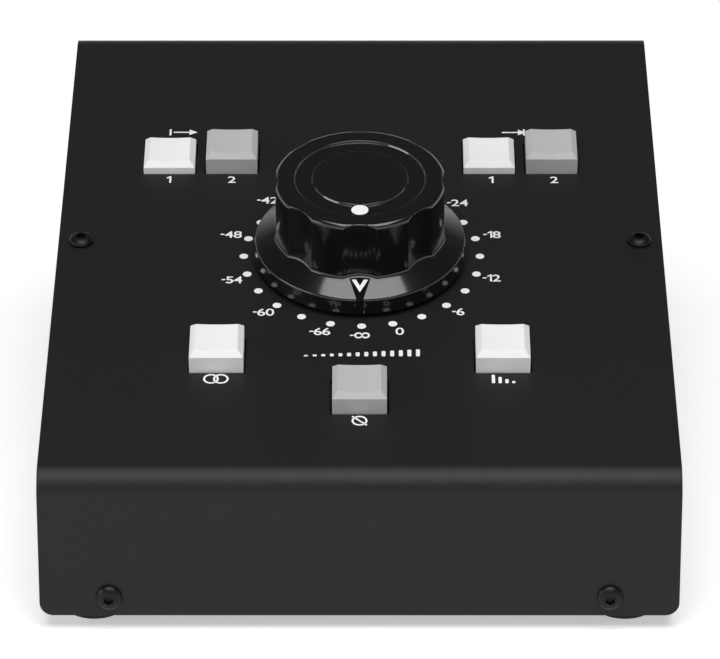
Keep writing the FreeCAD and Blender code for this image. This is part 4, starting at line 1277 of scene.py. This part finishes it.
@dataclass
class JackPanel:
    """The two rows of jacks through the rear wall, with their nuts."""

    case: Case
    width: float = 15.8
    height: float = 13.8
    depth: float = 24.0
    sheet: float = 1.5
    bushing: float = 4.7
    bore: float = 3.25
    bore_depth: float = 21.5
    bore_wall: float = 0.8
    bore_end: float = 1.0
    seat: float = 0.4
    edge_round: float = 0.4
    reach: float = 3.6
    thread_pitch: float = 0.5
    thread_depth: float = 0.22
    nut_flats: float = 12.0
    nut_height: float = 2.6
    nut_chamfer: float = 0.5

    def _bushing(self) -> Shape:
        """The threaded bushing with the bore for the plug.

        Returns:
            The mesh, in millimetres.
        """
        corners: list[Corner] = [(self.bore, self.reach, 0.25), (self.bushing, self.reach, 0.3)]
        turns = int((self.reach - 0.3) / self.thread_pitch)
        for k in range(turns):
            level = self.reach - 0.5 - k * self.thread_pitch
            corners.append((self.bushing - self.thread_depth, level, 0.0))
            corners.append((self.bushing, level - self.thread_pitch / 2, 0.0))
        sleeve, seat, end = self.bore + self.bore_wall, -self.sheet - self.seat, -self.sheet - self.bore_depth
        corners += [(self.bushing, seat, 0.0), (sleeve, seat, 0.0), (sleeve, end - self.bore_end, 0.0),
                    (0.0, end - self.bore_end, 0.0), (0.0, end, 0.0), (self.bore, end, 0.0)]
        return lathe(corners, 64)

    def _housing(self) -> Shape:
        """The jack's body behind the wall, bored through for the bushing.

        Returns:
            The mesh, in millimetres.
        """
        block = brick(self.width, self.height, -self.sheet - self.depth, -self.sheet, self.edge_round)
        end = -self.sheet - self.bore_depth - self.bore_end
        return combined(block, post(self.bore + self.bore_wall, end, 1.0, 48), Cut.TAKE)

    def _nut(self) -> Shape:
        """A chamfered hexagon nut.

        Returns:
            The mesh, in millimetres.
        """
        corner = self.nut_flats / math.sqrt(3)
        crown = lathe([(self.bushing + 0.03, 0.0, 0.0), (corner + 0.1, 0.0, 0.0),
                       (corner + 0.1, self.nut_height - self.nut_chamfer, 0.0),
                       (corner - 0.95, self.nut_height, 0.0), (self.bushing + 0.35, self.nut_height, 0.0),
                       (self.bushing + 0.03, self.nut_height - 0.32, 0.0)], 96)
        return combined(crown, post(corner, -1.0, self.nut_height + 1.0, 6), Cut.KEEP)

    def build(self) -> None:
        """Both rows of jacks and all eight nuts."""
        for name, level in zip(("input_jacks", "output_jacks"), self.case.jack_levels):
            jack = gathered([self._housing(), self._bushing()])
            row = copied(jack, self.case.jack_places(level))
            publish(moved(row, METRES), f"threaded_{name}", "jack_plastic", [name], crease=30.0)
        places = [place for level in self.case.jack_levels for place in self.case.jack_places(level)]
        publish(moved(copied(cleaned(self._nut()), places), METRES), "chamfered_nuts",
                "nickel_plate", ["jack_nuts"], edge=0.08)


@dataclass(frozen=True)
class DialNumber:
    """A number beside a dot of the dial."""

    text: str
    radius: float
    degrees: float


@dataclass
class PanelPrint:
    """The white print: the dial's dots and numbers, the selectors' numbers and plain marks."""

    case: Case
    dots_place: Point = (0.4, -0.15)
    dot_ring: float = 27.26
    dot_radius: float = 1.0
    dots: int = 24
    thickness: float = 0.025
    digit_size: float = 3.75
    digit_stretch: float = 1.12
    digit_height: float = 2.75
    digit_gap: float = 0.08
    weight: float = 0.035
    curve_steps: int = 6
    numbers: tuple[DialNumber, ...] = (
        DialNumber("-∞", 30.9, -90.0), DialNumber("0", 30.6, -72.9), DialNumber("-6", 31.2, -44.3),
        DialNumber("-12", 31.4, -16.1), DialNumber("-18", 31.8, 15.7), DialNumber("-24", 31.4, 43.4),
        DialNumber("-30", 31.4, 74.0), DialNumber("-36", 31.4, 106.0), DialNumber("-42", 31.4, 133.9),
        DialNumber("-48", 31.2, 163.9), DialNumber("-54", 30.8, -162.3), DialNumber("-60", 31.0, -134.9),
        DialNumber("-66", 30.7, -107.1))
    selectors: tuple[tuple[str, float, float], ...] = (
        ("1", -45.3, 114.1), ("2", -30.4, 114.1), ("1", 30.9, 114.0), ("2", 45.8, 114.0))
    stroke: float = 0.46
    infinity_ring: float = 1.0
    mark_ring: float = 1.75
    bar_width: float = 0.9
    bar_heights: Point = (0.5, 2.6)
    sunk: float = 0.004

    def _typed(self, sign: str) -> Shape:
        """A digit as a thin plate, standing on y = 0.

        Args:
            sign: The digit or minus sign.

        Returns:
            The mesh, in millimetres.
        """
        curve = bpy.data.curves.new("type", "FONT")
        curve.body = sign
        curve.size = self.digit_size
        curve.offset = self.weight
        curve.extrude = self.thickness / 2
        curve.resolution_u = self.curve_steps
        holder = linked("type", curve)
        bm = evaluated(holder)
        bpy.data.objects.remove(holder)
        bpy.data.curves.remove(curve)
        bmesh.ops.remove_doubles(bm, verts=bm.verts, dist=1e-5)
        return moved(bm, Matrix.Diagonal((self.digit_stretch, 1, 1, 1)))

    def _minus(self) -> Shape:
        """A short bar at half height."""
        return self._bar(0.9, self.stroke * 0.9, 0, self.digit_height / 2)

    def _one(self) -> Shape:
        """The digit one with a slanting flag."""
        upright = self._bar(self.stroke, self.digit_height, 0, self.digit_height / 2)
        return gathered([upright, self._bar(1.05, self.stroke * 0.9, -0.42, self.digit_height - 0.5, 38)])

    def _infinity(self) -> Shape:
        """Two flattened rings side by side."""
        rings = copied(self._ring(self.infinity_ring), [shift(side * 0.78, 0, 0) for side in (-1, 1)])
        return moved(rings, shift(0, self.digit_height / 2, 0) @ Matrix.Diagonal((1.0, 1.12, 1, 1)))

    def _lettering(self, text: str) -> Shape:
        """A number as a thin plate, centred.

        Args:
            text: What it says.

        Returns:
            The plate.
        """
        signs, along = [], 0.0
        for sign in text:
            drawn = {"1": self._one, "∞": self._infinity, "-": self._minus}
            glyph = drawn[sign]() if sign in drawn else self._typed(sign)
            left = min(vert.co.x for vert in glyph.verts)
            moved(glyph, shift(along - left, -self.digit_height / 2, 0))
            along = max(vert.co.x for vert in glyph.verts) + self.digit_gap
            signs.append(glyph)
        return moved(gathered(signs), shift((self.digit_gap - along) / 2, 0, 0))

    def _ring(self, radius: float) -> Shape:
        """A flat ring of the stroke's width."""
        half = self.thickness / 2
        return lathe([(radius - self.stroke, -half, 0.0), (radius, -half, 0.0), (radius, half, 0.0),
                      (radius - self.stroke, half, 0.0)], 48)

    def _bar(self, width: float, height: float, x: float = 0.0, y: float = 0.0,
             degrees: float = 0.0) -> Shape:
        """A flat bar with rounded ends, at a place and an angle."""
        bar = brick(width, height, -self.thickness / 2, self.thickness / 2, min(width, height) * 0.3)
        return moved(bar, shift(x, y, 0) @ turn_about("Z", degrees))

    def _level_mark(self, width: float, bars: int = 14) -> Shape:
        """A row of bars that grow to the right.

        Args:
            width: The row's length.
            bars: How many there are.

        Returns:
            The mark.
        """
        low, high = self.bar_heights
        row = []
        for share in (k / (bars - 1) for k in range(bars)):
            height = low + (high - low) * share
            row.append(self._bar(self.bar_width, height, (share - 0.5) * (width - self.bar_width),
                                 (height - high) / 2))
        return gathered(row)

    def _mono_mark(self) -> Shape:
        """Two rings that overlap: both channels as one."""
        return copied(self._ring(self.mark_ring), [shift(side * 1.1, 0, 0) for side in (-1, 1)])

    def _mute_mark(self) -> Shape:
        """A ring with a bar across."""
        return gathered([self._ring(self.mark_ring), self._bar(4.6, self.stroke, degrees=-45)])

    def _dim_mark(self) -> Shape:
        """Bars that step down."""
        return gathered([self._bar(0.75, height, k * 1.5 - 2.25, height / 2 - 1.5)
                         for k, height in enumerate((3.1, 2.3, 1.5, 0.8))])

    def _arrow(self, direction: int) -> Shape:
        """An arrow that leaves a bar or runs into one.

        Args:
            direction: One for out, minus one for in.

        Returns:
            The mark.
        """
        head = moved(post(1.3, -self.thickness / 2, self.thickness / 2, 3),
                     shift(2.2, 0, 0) @ turn_about("Z", -90))
        return gathered([self._bar(self.stroke, 2.6, -direction * 3.0),
                         self._bar(4.2, self.stroke, -0.2), head])

    def build(self) -> None:
        """All the print as one thin piece on the panel."""
        case = self.case
        level = self.thickness / 2 - self.sunk
        shapes = []
        disc = post(self.dot_radius, -self.thickness / 2, self.thickness / 2, 40)
        ring = [case.on_panel(self.dots_place[0] + self.dot_ring * math.cos(turn),
                              case.dial_v + self.dots_place[1] + self.dot_ring * math.sin(turn), level)
                for turn in (k * FULL_TURN / self.dots for k in range(self.dots))]
        shapes.append(copied(disc, ring))
        for number in self.numbers:
            turn = math.radians(number.degrees)
            place = case.on_panel(number.radius * math.cos(turn),
                                  case.dial_v + number.radius * math.sin(turn), level)
            shapes.append(moved(self._lettering(number.text), place))
        for text, x, v in self.selectors:
            shapes.append(moved(self._lettering(text), case.on_panel(x, v, level)))
        marks: tuple[tuple[Shape, float, float], ...] = (
            (self._mono_mark(), -32.0, 35.7), (self._mute_mark(), 0.0, 20.4),
            (self._dim_mark(), 32.0, 35.6), (self._arrow(1), -42.6, 134.1),
            (self._arrow(-1), 36.2, 134.0), (self._level_mark(26.0), 0.5, 45.4))
        for mark, x, v in marks:
            shapes.append(moved(mark, case.on_panel(x, v, level)))
        whole = gathered(shapes)
        bmesh.ops.recalc_face_normals(whole, faces=whole.faces)
        publish(moved(whole, METRES), "panel_print", "marker_white", finish=PRINT)


@dataclass
class Interior:
    """The pieces inside the case, which keep their solids and get their finishes."""

    def dress(self) -> None:
        """Gives each solid the finish of its material slot."""
        for row in frame["record"]["materials"]:
            for name in row.get("nodes", []):
                node = frame["nodes"][name]
                node.data.materials.clear()
                node.data.materials.append(FINISHES[row["slot"]].material())
                log.info("%s: %s", name, row["slot"])


@dataclass
class Studio:
    """Camera, lamps, floor and backdrop."""

    camera_place: tuple[float, float, float] = (2.7637, -981.534, 438.1693)
    pitch: float = 0.38999
    yaw: float = -0.002891
    roll: float = -0.001062
    focal: float = 4526.57
    picture_width: float = 720.0
    sensor: float = 36.0
    near: float = 0.01
    floor_radius: float = 9.0
    key_place: tuple[float, float, float] = (0.04, -0.40, 0.95)
    key_size: tuple[float, float] = (0.80, 0.77)
    key_radiance: float = 4.6
    side_place: tuple[float, float, float] = (-0.80, -0.38, 0.36)
    side_size: tuple[float, float] = (0.6, 0.16)
    side_radiance: float = 5.5
    aim: tuple[float, float, float] = (0.0, 0.0, 0.05)
    floor_paint: float = 232.0
    glow_reach: Point = (0.25, 1.4)
    glow: Point = (0.45, 1.0)
    room_heights: Point = (0.1, 0.5)
    room: Point = (1.0, 0.09)

    def build_camera(self) -> None:
        """A long lens above and in front of the panel."""
        forward = Vector((math.sin(self.yaw) * math.cos(self.pitch),
                          math.cos(self.yaw) * math.cos(self.pitch), -math.sin(self.pitch)))
        level = Vector((math.cos(self.yaw), -math.sin(self.yaw), 0))
        upright = level.cross(forward)
        right = math.cos(self.roll) * level + math.sin(self.roll) * upright
        above = math.cos(self.roll) * upright - math.sin(self.roll) * level
        data = bpy.data.cameras.new("camera")
        data.sensor_fit = "HORIZONTAL"
        data.sensor_width = self.sensor
        data.lens = self.sensor * self.focal / self.picture_width
        data.clip_start = self.near
        camera = linked("camera", data)
        axes = Matrix((right, above, -forward)).transposed().to_4x4()
        camera.matrix_world = Matrix.Translation(Vector(self.camera_place) * MM) @ axes
        bpy.context.scene.camera = camera

    def build_softbox(self, name: str, place: Sequence[float], size: Point, radiance: float) -> None:
        """One softbox turned towards the part.

        Args:
            name: The lamp's name.
            place: Its middle, in metres.
            size: Its width and height.
            radiance: How bright its face is.
        """
        data = bpy.data.lights.new(name, "AREA")
        data.shape = "RECTANGLE"
        data.size, data.size_y = size
        data.energy = radiance * math.pi * data.size * data.size_y
        lamp = linked(name, data)
        aim = (Vector(self.aim) - Vector(place)).to_track_quat("-Z", "Y")
        lamp.matrix_world = Matrix.Translation(place) @ aim.to_matrix().to_4x4()

    def build_floor(self) -> None:
        """A wide pale floor that shows white and keeps the shadow."""
        bm = bmesh.new()
        bmesh.ops.create_circle(bm, cap_ends=True, segments=96, radius=self.floor_radius)
        mesh = bpy.data.meshes.new("floor")
        bm.to_mesh(mesh)
        bm.free()
        floor = linked("floor", mesh)
        material = bpy.data.materials.new("studio_floor")
        graph = Graph(material)
        rays = graph.node("ShaderNodeLightPath")
        seen = (graph.out(rays, "Is Camera Ray") + graph.out(rays, "Is Glossy Ray")
                + graph.out(rays, "Is Transmission Ray")).at_most(1.0)
        length = graph.node("ShaderNodeVectorMath", {"operation": "LENGTH"}, {0: graph.place()})
        far = graph.between(graph.out(length, "Value"), self.glow_reach, self.glow)
        paint = graph.node("ShaderNodeBsdfDiffuse", None, {"Color": tone(*[self.floor_paint] * 3)})
        glow = graph.node("ShaderNodeEmission", None,
                          {"Color": (1, 1, 1, 1), "Strength": seen * far})
        both = graph.node("ShaderNodeAddShader", None,
                          {0: graph.out(paint, "BSDF"), 1: graph.out(glow, "Emission")})
        graph.surface(graph.out(both, "Shader"))
        mesh.materials.append(material)

    def build_world(self) -> None:
        """A white backdrop low down, and a dim room above it."""
        world = bpy.data.worlds.new("studio")
        bpy.context.scene.world = world
        graph = Graph(world)
        rays = graph.node("ShaderNodeLightPath")
        seen = (graph.out(rays, "Is Camera Ray") + graph.out(rays, "Is Transmission Ray")).at_most(1.0)
        direction = graph.out(graph.node("ShaderNodeTexCoord"), "Generated")
        height = graph.out(graph.node("ShaderNodeSeparateXYZ", None, {0: direction}), "Z")
        strength = seen + (1.0 - seen) * graph.between(height, self.room_heights, self.room)
        light = graph.node("ShaderNodeBackground", None, {"Color": (1, 1, 1, 1), "Strength": strength})
        graph.surface(graph.out(light, "Background"), "ShaderNodeOutputWorld")

    def build(self) -> None:
        """The whole studio."""
        self.build_camera()
        self.build_softbox("key_softbox", self.key_place, self.key_size, self.key_radiance)
        self.build_softbox("side_softbox", self.side_place, self.side_size, self.side_radiance)
        self.build_floor()
        self.build_world()
        bpy.context.scene.view_settings.view_transform = "Standard"


def main() -> None:
    """Builds every sub-assembly."""
    logging.basicConfig(level=logging.INFO, format="%(message)s")
    case = Case()
    buttons = [
        Button("output_1", -45.3, 122.896, 2.4, CapColour.WHITE),
        Button("output_2", -30.5, 122.896, 0.0, CapColour.GREY),
        Button("input_1", 30.5, 122.896, 2.4, CapColour.WHITE),
        Button("input_2", 45.3, 122.896, 0.0, CapColour.GREY),
        Button("mono", -32.0, 44.4, 0.0, CapColour.WHITE),
        Button("mute", 0.0, 29.2, 0.0, CapColour.GREY),
        Button("dim", 32.0, 44.4, 0.0, CapColour.WHITE),
    ]
    Interior().dress()
    case.build_cover(buttons)
    case.build_tray()
    case.build_screws()
    case.build_feet()
    LevelKnob(case).build()
    for button in buttons:
        button.build(case)
    JackPanel(case).build()
    PanelPrint(case).build()
    Studio().build()


if __name__ == "__main__":
    main()
